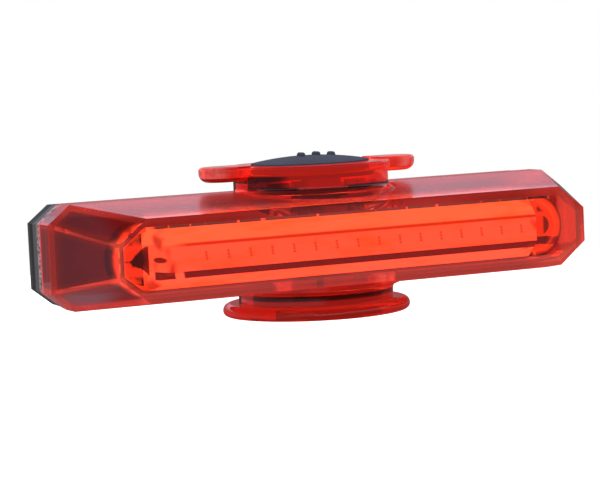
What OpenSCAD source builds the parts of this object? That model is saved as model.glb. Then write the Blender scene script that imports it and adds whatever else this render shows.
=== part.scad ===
// Bar-shaped bike rear light with a red faceted lens, a round strap hub and a cradle for the seat post.
// Frame: X runs along the light and the post, the lens faces -Y, the button is up.
// The origin is on the post's axis.

/* [Lens] */
// Length of the red rim, end to end
body_l = 100; // [94:1:112]
// Height of the red rim
body_h = 18.1; // [17:0.1:20]
// Rim corner chamfer, measured along the length
rim_corner_x = 4; // [3:0.1:5]
// Rim corner chamfer, measured along the height
rim_corner_z = 3.2; // [2.4:0.1:4]
// Depth of the straight wall between the rim and the facets
rim_wall_d = 4.5; // [3.5:0.1:6]
// Depth from the rim to the flat front face
lens_d = 21.7; // [20.5:0.1:25]
// How far the flat front face's ends lie inside the rim's ends
front_in_x = 6; // [3:0.5:8]
// How far the flat front face's long edges lie inside the rim's outline
front_in_z = 2.1; // [1.6:0.1:2.3]
// Front face corner chamfer, measured along the length
front_corner_x = 5; // [3:0.1:6]
// Wall of the red shell
shell_t = 1.7; // [1.4:0.1:1.8]

/* [Hub] */
// Distance of the hub's axis in front of the rim
hub_forward = 2.2; // [1.5:0.1:3]
// Radius of the neck that the strap goes round
neck_r = 13.7; // [13:0.1:15]
// Wall of the neck
neck_t = 2; // [1.6:0.1:2.3]
// Radius of the blend at the neck's foot
neck_blend = 1.3; // [0.6:0.1:1.6]
// Distance of the hub's flat back behind its axis
hub_back = 11.8; // [11.4:0.1:12.2]
// Height of the top plate's upper face above the light's middle
plate_z = 13.25; // [13:0.05:15]
// Thickness of the top plate
plate_t = 1.4; // [1:0.1:1.6]
// How far the top plate stands out past the neck
plate_lip = 0.5; // [0.2:0.1:1]
// Reach of each ear from the hub's axis
ear_reach = 20.7; // [18:0.1:24]
// Width of each ear
ear_w = 8.4; // [6:0.1:10]
// Thickness of each ear
ear_t = 2.65; // [2:0.05:3.2]
// Distance of the ears behind the hub's axis
ear_back = 0.8; // [0:0.1:1.2]
// How far the ears stand above the top plate
ear_rise = 0.25; // [0.1:0.05:0.4]
// Depth of the dish's lower face below the light's middle
dish_z = 13.2; // [12.5:0.1:14]
// Thickness of the dish
dish_t = 2.2; // [1.9:0.1:2.4]
// How far the dish stands out past the neck
dish_lip = 2.9; // [1:0.1:4]
// Rounding of the dish's lower edge
dish_round = 0.9; // [0.3:0.1:1]
// Rounding of the dish's upper edge
dish_slope = 1.2; // [0.5:0.1:1.4]

/* [Rear cover] */
// Depth of the cover behind the rim
cover_d = 6.2; // [6:0.1:8]
// Wall of the cover
cover_t = 1.6; // [1.2:0.1:1.8]
// How far the cover's back edge lies inside the rim's outline
cover_taper = 0.4; // [0.2:0.1:0.8]
// Depth of the lip that goes inside the red shell
lip_d = 2.4; // [1.5:0.1:2.6]
// Thickness of that lip
lip_t = 1; // [0.8:0.1:1.2]
// Thickness of the bead between the rim and the cover
bead_t = 0.5; // [0.3:0.1:0.8]
// How far the bead and the cover lie inside the rim's outline
bead_inset = 0.2; // [0.1:0.05:0.4]

/* [Cradle] */
// Diameter of the post that the cradle fits
post_d = 27.2; // [26.8:0.1:28.6]
// Length of the cradle along the post
cradle_l = 15.5; // [12:0.5:18]
// Height of the cradle's upper lip above the post's axis
cradle_top_z = 12.6; // [12.4:0.1:12.8]
// Distance of the upper lip's end in front of the post's axis
cradle_top_end = 6.2; // [6:0.1:6.8]
// Depth of the cradle's lower lip below the post's axis
cradle_low_z = 13.2; // [12.8:0.1:13.4]
// Distance of the lower lip's end in front of the post's axis
cradle_low_end = 5.3; // [4.8:0.1:5.3]
// Thickness of the rubber
pad_t = 1.1; // [0.8:0.1:1.6]
// How far the cradle's deepest line stands proud of the rubber back
cradle_rise = 0.2; // [0.1:0.1:0.6]

/* [Optic] */
// How far the optic lies below the light's middle
optic_drop = 0.15; // [0:0.05:0.25]
// Distance of the light bar's ends from the rim's ends
bar_end = 13; // [12.9:0.1:15]
// Depth of the light bar
bar_d = 6.6; // [5.5:0.1:7]
// Height of the light bar's front face
bar_front_h = 4.6; // [3:0.1:6]
// How far the light bar's front face ends inside its back
bar_hip = 2.1; // [0.5:0.1:4]
// Gap between the light bar and the front wall
bar_gap = 0.2; // [0.1:0.05:0.4]
// Distance of the frame screws from the rim's ends
frame_screw_end = 11.1; // [11:0.1:11.2]
// How far the frame's edge lies inside the rim's outline
frame_in = 3.45; // [3.4:0.05:3.85]
// Thickness of the frame's floor
frame_floor_t = 0.7; // [0.6:0.1:1]
// Height of the rim at the frame's round ends
frame_rim_h = 2.4; // [1.6:0.1:2.5]
// Wall of that rim
frame_rim_t = 1.1; // [0.8:0.1:1.6]
// How far the LED strip's ends lie inside the light bar's ends
led_in = 1; // [0.8:0.1:4]
// Width of the LED strip
led_w = 3; // [2:0.1:3.6]
// Height of the LED strip above its board
led_h = 0.55; // [0.3:0.05:0.6]
// Thickness of the LED board
led_board_t = 1.2; // [0.8:0.1:1.6]
// How far the LED board lies inside the frame's outline
led_board_inset = 0.5; // [0.2:0.1:1]

/* [Electronics] */
// Length of the main board
board_l = 52; // [50:0.5:54]
// Distance of the main board's long edges from the rim's outline
board_in = 2.85; // [2.6:0.05:3.1]
// Thickness of the main board
board_t = 1; // [0.8:0.1:1.2]
// Width of the main board's upper tongue
top_tongue_w = 9; // [7:0.1:12]
// Width of the main board's lower tongue
low_tongue_w = 10; // [8.5:0.1:13]
// Gap between the main board and the battery
board_gap = 0.8; // [0.5:0.1:1]
// Distance of the board screws from the middle
board_screw_x = 23.2; // [22.7:0.1:23.6]
// Battery length
battery_l = 40; // [34:0.5:41]
// Distance of the battery's long sides from the rim's outline
battery_in = 3.3; // [3.15:0.05:3.8]
// Battery thickness
battery_t = 6; // [5:0.1:6.2]
// Foam thickness behind the battery
foam_t = 1.4; // [1:0.1:1.6]
// Radius of the leads
lead_r = 0.5; // [0.3:0.05:0.6]

/* [Button and switch] */
// Radius of the button
button_r = 10.4; // [9.8:0.1:10.6]
// Height of the button's dome
button_dome = 1.05; // [0.6:0.05:2]
// Height of the button's edge above the top plate
button_edge = 0.25; // [0.1:0.05:0.4]
// Thickness of the button's crown at its edge
button_crown_t = 1; // [0.8:0.1:1.1]
// Radial clearance of the button in the top plate
button_gap = 0.15; // [0.1:0.05:0.2]
// Width of the flange that keeps the button in
button_flange_w = 0.8; // [0.5:0.1:0.8]
// Thickness of that flange
button_flange_t = 0.7; // [0.4:0.1:0.8]
// Travel of the button
button_travel = 0.4; // [0.2:0.1:0.5]
// Switch width
switch_w = 6; // [4:0.1:7]
// Switch depth in front of the main board
switch_d = 3.4; // [3:0.1:4]
// Switch height
switch_h = 3.3; // [2.8:0.1:3.6]
// Reach of the switch bracket's arms from the middle
bracket_reach = 10.1; // [9.4:0.1:10.1]
// Thickness of the switch bracket
bracket_t = 0.6; // [0.4:0.05:0.65]
// Radius of the switch plunger
plunger_r = 1; // [0.6:0.05:1.2]
// Radial clearance of the plunger
plunger_gap = 0.05; // [0.02:0.01:0.08]

/* [Charging port] */
// Socket width
usb_w = 7.5; // [7.2:0.1:8.2]
// Socket depth in front of the main board
usb_d = 2.7; // [2.5:0.1:3]
// Socket length
usb_l = 5.2; // [4.8:0.1:5.6]
// Wall of the socket's shell
usb_t = 0.3; // [0.2:0.05:0.4]
// Length of the port cover past the port's middle
flap_reach = 8.2; // [7:0.1:9]
// Width of the port cover
flap_w = 7.4; // [6.4:0.1:8]
// Thickness of the port cover
flap_t = 1.1; // [0.8:0.1:1.2]
// Distance of the port cover's hinge line from the port's middle
flap_hinge = 6.9; // [6.4:0.1:7.4]
// Length of the cover's anchor beyond the hinge line
anchor_l = 3.8; // [3:0.1:4.4]
// Clearance round the port cover
flap_gap = 0.2; // [0.15:0.05:0.3]

/* [Hidden] */
$fn = 64;

// Cuts reach this far past a face
over = 0.5;
// Large enough to reach across the whole light
span = 2 * body_l;
// Play between fixed pieces that slide together
play = 0.1;
// Contact gap where one piece pushes another
touch = 0.05;
// Room behind the main board in the hub's well
board_room = 0.4;
// Gap between the button's flange and the top plate
flange_gap = 0.25;
// Gap left under the flange when the button is pressed
flange_rest = 0.2;
// Extra wall of the button's skirt inside the flange
skirt_extra = 0.4;
// Height of the button's boss above the switch plunger
boss_h = 0.25;
// Wall of that boss outside the plunger's radius
boss_extra = 0.6;
// How far the plunger stands out of the switch
plunger_out = 0.7;
// How deep the plunger sits in the switch at rest
plunger_in = switch_h / 3;
// Largest rounding of an ear's lower edge
ear_round = 1.6;
// Distance of the lower tongue's edge from the socket's mouth
tongue_inset = 1;
// Clearances of the cover's plug in the socket, along the width and the depth
plug_gap_x = 0.35;
plug_gap_y = 0.25;
// How far the plug goes into the socket
plug_in = 1;
// Contact tongue of the socket: thickness and distance from the mouth
contact_t = 0.6;
contact_inset = 1.4;
// Radius of the peg that holds the port cover's anchor
peg_r = 1.1;

// Sizes that follow the rim's length and height
front_l = body_l - 2 * front_in_x;
front_h = body_h - 2 * front_in_z;
bar_l = body_l - 2 * bar_end;
led_l = bar_l - 2 * led_in;
frame_screw_x = body_l / 2 - frame_screw_end;
frame_r = body_h / 2 - frame_in;
bar_back_h = 2 * (frame_r - play);
board_h = body_h - 2 * board_in;
battery_h = body_h - 2 * battery_in;

// Depths, from the post's axis towards the front
post_r = post_d / 2;
back_y = -post_r - cradle_rise;
cover_back_y = back_y - pad_t;
cover_inner_y = cover_back_y - cover_t;
rim_y = cover_back_y - cover_d;
ridge_y = rim_y - rim_wall_d;
front_y = rim_y - lens_d;
front_inner_y = front_y + shell_t;
hub_y = rim_y - hub_forward;
chord_y = hub_y + hub_back;
bar_front_y = front_inner_y + bar_gap;
bar_back_y = bar_front_y + bar_d;
frame_back_y = bar_back_y + frame_floor_t;
led_back_y = frame_back_y + led_board_t;
battery_back_y = cover_inner_y - foam_t;
battery_front_y = battery_back_y - battery_t;
board_back_y = battery_front_y - board_gap;
board_front_y = board_back_y - board_t;
well_back_y = board_back_y + board_room;
switch_y = board_front_y - switch_d / 2;
port_y = board_front_y - usb_d / 2;

// Heights
plate_under_z = plate_z - plate_t;
dish_top_z = -dish_z + dish_t;
well_r = neck_r - neck_t;
plate_r = neck_r + plate_lip;
dish_r = neck_r + dish_lip;
flange_top_z = plate_under_z - flange_gap;
flange_low_z = flange_top_z - button_flange_t;
skirt_floor_z = flange_low_z - button_travel - flange_rest;
crown_under_z = plate_z - button_crown_t;
plunger_top_z = crown_under_z - boss_h;
switch_top_z = plunger_top_z - plunger_out;
switch_low_z = switch_top_z - switch_h;
top_tongue_z = skirt_floor_z - play;
recess_z = -dish_z + flap_t + play;
usb_mouth_z = recess_z + play;
usb_back_z = usb_mouth_z + usb_l;
low_tongue_z = usb_mouth_z + tongue_inset;
// The neck's foot starts midway between the rim's height and the facet's height at the neck's front
facet_fall = (body_h - front_h) / 2 * (ridge_y - hub_y + neck_r) / (ridge_y - front_y);
foot_z = body_h / 2 - facet_fall / 2;

// Eight-sided sections as half length, half height and the two legs of the corner chamfer.
// Both chamfers have one slope, so each corner facet is flat.
front_corner_z = front_corner_x * rim_corner_z / rim_corner_x;
rim_octa = [body_l / 2, body_h / 2, rim_corner_x, rim_corner_z];
front_octa = [front_l / 2, front_h / 2, front_corner_x, front_corner_z];
cover_octa = inset(rim_octa, bead_inset);
cover_back_octa = inset(rim_octa, cover_taper);
lip_inset = shell_t + play + lip_t;

// Round ends and screws
frame_screw_r = 0.8;
frame_head_r = 1.7;
frame_head_t = 1.4;
frame_screw_l = 8;
frame_boss_r = 2.7;
board_screw_r = 0.8;
board_head_r = 1.9;
board_head_t = 1.2;
board_screw_l = 6;
board_boss_r = 2.2;
hole_play = 0.3;
pilot_play = 0.05;

// Parts on the main board, as width, depth and height
charge_size = [5, 1.5, 4];
driver_size = [3, 1.1, 3];
capacitor_size = [3.2, 1.6, 1.6];
inductor_r = 2.8;
inductor_d = 3;
socket_size = [6.3, 4.2, 3.8];
charge_x = -9;
driver_x = 3.5;
inductor_x = 11;
capacitor_x = 16;
part_z = 1.2;
socket_edge_x = 1.2;
socket_edge_z = 0.2;
socket_x = board_l / 2 - socket_edge_x - socket_size.x / 2;
socket_z = board_h / 2 - socket_edge_z - socket_size.z / 2;

// Parts on the switch bracket, as width, depth and height
sensor_size = [2.4, 1.8, 1.2];
status_size = [1.5, 1.4, 1.1];
sensor_x = -7.4;
charge_led_x = 5.6;
battery_led_x = 7.7;
bracket_peg_x = -9.4;
bracket_peg_r = 0.5;
bracket_peg_h = 1.2;
bracket_side = 0.8;
bracket_rise = 0.35;
bracket_ahead = 1.2;
bracket_arm_z = switch_low_z + bracket_rise;
bracket_strap_z = switch_low_z - touch - bracket_t;
bracket_front_y = switch_y - bracket_ahead;

// Where the leads run
lead_step = 1.8;
battery_lead_y = (battery_back_y + battery_front_y) / 2;
socket_lead_y = board_front_y - socket_size.y / 2;
lead_turn_x = board_l / 2 + 2;
led_lead_in = 6;
led_lead_x = led_lead_in - led_l / 2;
led_pad_x = -18;
led_lead_z = 1.3;
led_lead_y = (led_back_y + board_front_y) / 2;

// A section moved in by a wall of thickness t, with its chamfer kept parallel
function inset(o, t) =
    let (k = 1 + t * (norm([1 / o[2], 1 / o[3]]) - 1 / o[2] - 1 / o[3]))
    [o[0] - t, o[1] - t, k * o[2], k * o[3]];

// The lens section at a depth y between the ridge and the front
function lens_at(y) =
    let (f = (ridge_y - y) / (ridge_y - front_y))
    rim_octa * (1 - f) + front_octa * f;

// Corner points of a section, clockwise from the top right as seen from the front
function octa_points(o) = [
    [o[0] - o[2], o[1]], [o[0], o[1] - o[3]], [o[0], o[3] - o[1]], [o[0] - o[2], -o[1]],
    [o[2] - o[0], -o[1]], [-o[0], o[3] - o[1]], [-o[0], o[1] - o[3]], [o[2] - o[0], o[1]]
];

// Solid between two eight-sided sections at depths y0 < y1
module octa_loft(y0, o0, y1, o1) {
    near = [for (p = octa_points(o0)) [p.x, y0, p.y]];
    far = [for (p = octa_points(o1)) [p.x, y1, p.y]];
    sides = [for (i = [0:7]) [i, i + 8, (i + 1) % 8 + 8, (i + 1) % 8]];
    caps = [[for (i = [0:7]) i], [for (i = [7:-1:0]) i + 8]];
    polyhedron(concat(near, far), concat(caps, sides));
}

// Straight eight-sided slab between two depths
module octa_slab(y0, y1, o) {
    translate([0, y1, 0])
        rotate([90, 0, 0])
            linear_extrude(y1 - y0)
                polygon(octa_points(o));
}

// Moves the optic's pieces down to its own middle line
module at_optic() {
    translate([0, 0, -optic_drop])
        children();
}

// Everything in front of a depth
module in_front_of(y) {
    translate([-span / 2, y - span, -span / 2])
        cube(span);
}

// Everything behind a depth
module behind(y) {
    translate([-span / 2, y, -span / 2])
        cube(span);
}

// Box between two corners
module box(low, high) {
    translate(low)
        cube(high - low);
}

// Upright cylinder on the hub's axis
module hub_cylinder(r, z0, z1) {
    translate([0, hub_y, z0])
        cylinder(r = r, h = z1 - z0, $fn = 128);
}

// Cylinder along Y between two depths
module bolt_cylinder(x, z, r, y0, y1) {
    translate([x, y1, z])
        rotate([90, 0, 0])
            cylinder(r = r, h = y1 - y0);
}

// Cylinder along the post
module post_cylinder(r, l) {
    rotate([0, 90, 0])
        cylinder(r = r, h = l, center = true, $fn = 128);
}

// Half of a disc's section with a lower and an upper rounding
module soft_section(r, t, low, top) {
    difference() {
        square([r, t]);
        difference() {
            translate([r - low, -over])
                square([low + over, low + over]);
            translate([r - low, low])
                circle(low, $fn = 32);
        }
        difference() {
            translate([r - top, t - top])
                square([top + over, top + over]);
            translate([r - top, t - top])
                circle(top, $fn = 32);
        }
    }
}

// Disc with rounded edges, standing on z = 0
module soft_disc(r, t, low, top) {
    rotate_extrude($fn = 128)
        soft_section(r, t, low, top);
}

// Bar along X with rounded long edges, standing on z = 0
module soft_bar(l, w, t, low, top) {
    rotate([90, 0, 90])
        linear_extrude(l) {
            soft_section(w / 2, t, low, top);
            mirror([1, 0])
                soft_section(w / 2, t, low, top);
        }
}

// Plate with round ends between two depths
module stadium_slab(half_l, r, y0, y1) {
    box([-half_l, y0, -r], [half_l, y1, r]);
    for (side = [-1, 1])
        bolt_cylinder(side * half_l, 0, r, y0, y1);
}

// Lead through a list of points
module lead(points) {
    for (p = points)
        translate(p)
            sphere(lead_r, $fn = 24);
    for (i = [1:len(points) - 1]) {
        d = points[i] - points[i - 1];
        translate(points[i - 1])
            rotate([0, acos(d.z / norm(d)), atan2(d.y, d.x)])
                cylinder(r = lead_r, h = norm(d), $fn = 24);
    }
}

// Screw along Y with its head's face towards the front
module screw(x, head_r, head_t, r, l, seat_y) {
    bolt_cylinder(x, 0, head_r, seat_y - head_t, seat_y);
    bolt_cylinder(x, 0, r, seat_y - head_t / 2, seat_y + l);
}

// Half section of the neck's foot, which blends into the facets
module foot_section() {
    root = neck_t / 2;
    difference() {
        translate([neck_r - root, 0])
            square([root + neck_blend, foot_z + neck_blend]);
        translate([neck_r + neck_blend, foot_z + neck_blend])
            circle(neck_blend, $fn = 48);
    }
}

// Half section of the whole hub: neck, feet, top plate and dish
module hub_section() {
    translate([0, dish_top_z - dish_t / 2])
        square([neck_r, plate_z - plate_t / 2 - dish_top_z + dish_t / 2]);
    foot_section();
    mirror([0, 1])
        foot_section();
    translate([0, plate_under_z])
        soft_section(plate_r, plate_t, plate_t / 4, plate_t / 4);
    translate([0, -dish_z])
        soft_section(dish_r, dish_t, dish_round, min(dish_slope, dish_t - dish_round - play));
}

// Red hub: a full neck in front of the rim, and only the plate and the dish behind it
module hub() {
    difference() {
        intersection() {
            translate([0, hub_y, 0])
                rotate_extrude($fn = 128)
                    hub_section();
            in_front_of(chord_y);
        }
        box([-span, rim_y, dish_top_z], [span, span, plate_under_z]);
    }
}

// One ear of the top plate
module ear(side) {
    tip_x = ear_reach - ear_w / 2;
    low = min(ear_round, ear_t * 3 / 4 - play);
    translate([0, hub_y + ear_back, plate_z + ear_rise - ear_t])
        mirror([side < 0 ? 1 : 0, 0, 0]) {
            translate([tip_x, 0, 0])
                soft_disc(ear_w / 2, ear_t, low, ear_t / 4);
            translate([well_r + neck_t / 2, 0, 0])
                soft_bar(tip_x - well_r - neck_t / 2, ear_w, ear_t, low, ear_t / 4);
        }
}

// Both ears, clear of the cover's half of the neck
module ears() {
    difference() {
        union() {
            ear(-1);
            ear(1);
        }
        intersection() {
            hub_cylinder(neck_r + play, dish_top_z, plate_under_z);
            behind(rim_y);
        }
    }
}

// Opening in the dish for the port cover, its anchor and the socket
module port_cut() {
    half_w = flap_w / 2 + flap_gap;
    low = -flap_hinge - anchor_l - flap_gap;
    end_x = flap_reach - flap_w / 2;
    box([low, port_y - half_w, -dish_z - over], [end_x, port_y + half_w, recess_z]);
    translate([end_x, port_y, -dish_z - over])
        cylinder(r = half_w, h = recess_z + dish_z + over);
    box([-usb_w / 2 - hole_play, port_y - usb_d / 2 - hole_play, recess_z - over],
        [usb_w / 2 + hole_play, board_front_y + board_t, dish_top_z + over]);
    anchor_peg(pilot_play, over);
}

// Red shell with its hub, hollow inside, with a well for the button and an opening for the port
module lens_housing() {
    color([0.8, 0.08, 0.06, 0.7])
        difference() {
            union() {
                octa_slab(ridge_y, rim_y, rim_octa);
                octa_loft(front_y, front_octa, ridge_y, rim_octa);
                hub();
                ears();
            }
            octa_slab(ridge_y, rim_y + over, inset(rim_octa, shell_t));
            octa_loft(front_inner_y, inset(lens_at(front_inner_y), shell_t),
                ridge_y, inset(rim_octa, shell_t));
            intersection() {
                hub_cylinder(well_r, dish_top_z, plate_under_z);
                in_front_of(well_back_y);
            }
            hub_cylinder(well_r, skirt_floor_z, plate_under_z);
            hub_cylinder(button_r + button_gap, plate_under_z - over, plate_z + over);
            port_cut();
        }
}

// The cover's half of the necks, behind the red rim
module cover_necks() {
    difference() {
        intersection() {
            union() {
                hub_cylinder(neck_r, cover_octa[1] - cover_t / 2, plate_under_z - touch);
                hub_cylinder(neck_r, dish_top_z + touch, cover_t / 2 - cover_octa[1]);
            }
            in_front_of(chord_y + over);
            behind(rim_y + touch);
        }
        hub_cylinder(well_r, skirt_floor_z, plate_z);
        box([-span, rim_y, -cover_octa[1] - touch], [span, rim_y + bead_t, cover_octa[1] + touch]);
        box([-span, cover_back_y, -cover_back_octa[1] - play], [span, 0, cover_back_octa[1] + play]);
        post_cylinder(post_r + pad_t, span);
    }
}

// Space from a depth y to the ends of the cradle's two lips
module cradle_room(half_l, y) {
    box([-half_l, y, -cradle_low_z], [half_l, -cradle_low_end, 0]);
    box([-half_l, y, -over], [half_l, -cradle_top_end, cradle_top_z]);
}

// The two cheeks that carry the cradle's rubber
module cradle_core() {
    half_l = cradle_l / 2 - play;
    difference() {
        union() {
            box([-half_l, cover_back_y - cover_t / 2, -cover_back_octa[1]],
                [half_l, -cradle_top_end, cover_back_octa[1]]);
            cradle_room(half_l, chord_y + play);
        }
        post_cylinder(post_r + pad_t, span);
    }
}

// Tray with a lip inside the red shell, four screw bosses, the half necks and the cradle's cheeks
module rear_cover() {
    floor_y = rim_y + bead_t + cover_t;
    boss_root_y = cover_inner_y + cover_t / 2;
    color([0.30, 0.32, 0.32])
        difference() {
            union() {
                difference() {
                    octa_loft(rim_y + bead_t, cover_octa, cover_back_y, cover_back_octa);
                    octa_slab(rim_y, floor_y, inset(rim_octa, lip_inset));
                    octa_slab(floor_y - cover_t / 2, cover_inner_y, inset(cover_back_octa, lip_inset));
                    octa_slab(floor_y, cover_inner_y, inset(cover_back_octa, cover_t));
                }
                difference() {
                    octa_slab(rim_y - lip_d, floor_y - cover_t / 2, inset(rim_octa, shell_t + play));
                    octa_slab(rim_y - lip_d - over, floor_y, inset(rim_octa, lip_inset));
                }
                cover_necks();
                cradle_core();
                for (side = [-1, 1]) {
                    bolt_cylinder(side * frame_screw_x, -optic_drop, frame_boss_r, led_back_y, boss_root_y);
                    bolt_cylinder(side * board_screw_x, 0, board_boss_r, board_back_y, boss_root_y);
                }
            }
            for (side = [-1, 1]) {
                bolt_cylinder(side * frame_screw_x, -optic_drop, frame_screw_r + pilot_play,
                    led_back_y - over, bar_back_y + frame_screw_l + over);
                bolt_cylinder(side * board_screw_x, 0, board_screw_r + pilot_play,
                    board_back_y - over, board_front_y + board_screw_l + over);
            }
        }
}

// Rubber over the back and inside the cradle
module rear_pad() {
    half_l = cradle_l / 2;
    color([0.05, 0.05, 0.06]) {
        difference() {
            octa_slab(cover_back_y, back_y, cover_back_octa);
            box([play / 2 - half_l, cover_back_y - over, -span],
                [half_l - play / 2, back_y + over, span]);
        }
        intersection() {
            difference() {
                post_cylinder(post_r + pad_t, cradle_l);
                post_cylinder(post_r, span);
            }
            cradle_room(half_l, -span);
        }
    }
}

// Bead that closes the joint between the red rim and the cover
module seam_bead() {
    color([0.86, 0.66, 0.66])
        difference() {
            octa_slab(rim_y, rim_y + bead_t, cover_octa);
            octa_slab(rim_y - over, rim_y + bead_t + over, inset(rim_octa, shell_t));
        }
}

// Clear prism that spreads the light: a trapezium along X, cut by a trapezium along Z
module light_bar() {
    half_l = bar_l / 2;
    color([1, 0.45, 0.25])
        at_optic()
            intersection() {
                translate([-half_l, 0, 0])
                    rotate([90, 0, 90])
                        linear_extrude(bar_l)
                            polygon([
                                [bar_front_y, bar_front_h / 2], [bar_front_y, -bar_front_h / 2],
                                [bar_back_y, -bar_back_h / 2], [bar_back_y, bar_back_h / 2]
                            ]);
                translate([0, 0, -bar_back_h])
                    linear_extrude(2 * bar_back_h)
                        polygon([
                            [half_l, bar_back_y], [half_l - bar_hip, bar_front_y],
                            [bar_hip - half_l, bar_front_y], [-half_l, bar_back_y]
                        ]);
            }
}

// White frame under the light bar, with a raised half rim round each end
module optic_frame() {
    rim_front_y = bar_back_y - frame_rim_h;
    color([0.93, 0.92, 0.88])
        at_optic()
            difference() {
                union() {
                    stadium_slab(bar_l / 2, frame_r, bar_back_y, frame_back_y);
                    for (side = [-1, 1])
                        bolt_cylinder(side * bar_l / 2, 0, frame_r, rim_front_y, frame_back_y);
                }
                box([-bar_l / 2 - play, rim_front_y - over, -span],
                    [bar_l / 2 + play, bar_back_y, span]);
                box([-led_l / 2 - play, bar_back_y - over, -led_w / 2 - play],
                    [led_l / 2 + play, frame_back_y + over, led_w / 2 + play]);
                for (side = [-1, 1]) {
                    bolt_cylinder(side * bar_l / 2, 0, frame_r - frame_rim_t,
                        rim_front_y - over, bar_back_y);
                    bolt_cylinder(side * frame_screw_x, 0, frame_screw_r + hole_play,
                        bar_back_y - over, frame_back_y + over);
                }
            }
}

// Board that carries the LED strip
module led_board() {
    color([0.85, 0.86, 0.84])
        at_optic()
            difference() {
                stadium_slab(bar_l / 2, frame_r - led_board_inset, frame_back_y, led_back_y);
                for (side = [-1, 1])
                    bolt_cylinder(side * frame_screw_x, 0, frame_screw_r + hole_play,
                        frame_back_y - over, led_back_y + over);
            }
}

// Row of light-emitting chips under one coating
module led_strip() {
    color([0.95, 0.75, 0.25])
        at_optic()
            box([-led_l / 2, frame_back_y - led_h, -led_w / 2], [led_l / 2, frame_back_y, led_w / 2]);
}

module frame_screw(side) {
    color([0.12, 0.12, 0.13])
        at_optic()
            screw(side * frame_screw_x, frame_head_r, frame_head_t,
                frame_screw_r, frame_screw_l, bar_back_y);
}

// Board with one tongue up to the switch and one down to the charging socket
module main_board() {
    color([0.05, 0.28, 0.14])
        difference() {
            union() {
                box([-board_l / 2, board_front_y, -board_h / 2], [board_l / 2, board_back_y, board_h / 2]);
                box([-top_tongue_w / 2, board_front_y, 0], [top_tongue_w / 2, board_back_y, top_tongue_z]);
                box([-low_tongue_w / 2, board_front_y, low_tongue_z], [low_tongue_w / 2, board_back_y, 0]);
            }
            for (side = [-1, 1])
                bolt_cylinder(side * board_screw_x, 0, board_screw_r + hole_play,
                    board_front_y - over, board_back_y + over);
        }
}

module board_screw(side) {
    color([0.7, 0.7, 0.72])
        screw(side * board_screw_x, board_head_r, board_head_t,
            board_screw_r, board_screw_l, board_front_y);
}

// Block on the front of the main board
module board_part(x, z, size) {
    box([x - size.x / 2, board_front_y - size.y, z - size.z / 2],
        [x + size.x / 2, board_front_y, z + size.z / 2]);
}

module charge_ic() {
    color([0.08, 0.08, 0.09])
        board_part(charge_x, part_z, charge_size);
}

module driver_ic() {
    color([0.08, 0.08, 0.09])
        board_part(driver_x, part_z, driver_size);
}

module inductor() {
    color([0.25, 0.25, 0.27])
        bolt_cylinder(inductor_x, 0, inductor_r, board_front_y - inductor_d, board_front_y);
}

module capacitor(side) {
    color([0.6, 0.45, 0.3])
        board_part(side * capacitor_x, -part_z * 2, capacitor_size);
}

module battery_socket() {
    color([0.92, 0.9, 0.84])
        board_part(socket_x, socket_z, socket_size);
}

module battery() {
    color([0.6, 0.62, 0.66])
        box([-battery_l / 2, battery_front_y, -battery_h / 2],
            [battery_l / 2, battery_back_y, battery_h / 2]);
}

module battery_foam() {
    color([0.2, 0.2, 0.2])
        box([-battery_l / 2 + foam_t, battery_back_y, -battery_h / 2 + foam_t],
            [battery_l / 2 - foam_t, cover_inner_y, battery_h / 2 - foam_t]);
}

// One lead from the battery's end round the board's edge to the connector
module battery_lead(side, tint) {
    z = socket_z + side * lead_step / 2;
    color(tint)
        difference() {
            lead([
                [battery_l / 2, battery_lead_y, z], [lead_turn_x, battery_lead_y, z],
                [lead_turn_x, socket_lead_y, z], [socket_x + socket_size.x / 2, socket_lead_y, z]
            ]);
            battery();
            battery_socket();
        }
}

// One lead from the LED board to a pad on the main board
module led_lead(side, tint) {
    z = side * led_lead_z;
    color(tint)
        difference() {
            lead([
                [led_lead_x, led_back_y, z], [led_lead_x, led_lead_y, z],
                [led_pad_x, led_lead_y, z], [led_pad_x, board_front_y, z]
            ]);
            led_board();
            main_board();
        }
}

// Rubber cap with a domed top, a flange that keeps it in and a boss over the switch
module power_button() {
    cap_r = (pow(button_r, 2) + pow(button_dome, 2)) / (2 * button_dome);
    flange_r = button_r + button_flange_w;
    edge_z = plate_z + button_edge;
    color([0.27, 0.30, 0.37])
        union() {
            difference() {
                union() {
                    hub_cylinder(button_r, flange_low_z, edge_z);
                    hub_cylinder(flange_r, flange_low_z, flange_top_z);
                    intersection() {
                        translate([0, hub_y, edge_z + button_dome - cap_r])
                            sphere(cap_r, $fn = 128);
                        hub_cylinder(button_r, crown_under_z, edge_z + button_dome + over);
                    }
                }
                hub_cylinder(button_r - button_flange_w - skirt_extra, flange_low_z - over, crown_under_z);
            }
            translate([0, switch_y, plunger_top_z + touch])
                cylinder(r = plunger_r + boss_extra, h = boss_h);
        }
}

module switch_body() {
    color([0.75, 0.16, 0.12])
        difference() {
            box([-switch_w / 2, board_front_y - switch_d, switch_low_z],
                [switch_w / 2, board_front_y, switch_top_z]);
            translate([0, switch_y, switch_top_z - plunger_in - button_travel - play])
                cylinder(r = plunger_r + plunger_gap, h = switch_h);
        }
}

module switch_plunger() {
    color([0.1, 0.1, 0.11])
        translate([0, switch_y, switch_top_z - plunger_in])
            cylinder(r = plunger_r, h = plunger_out + plunger_in);
}

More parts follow.
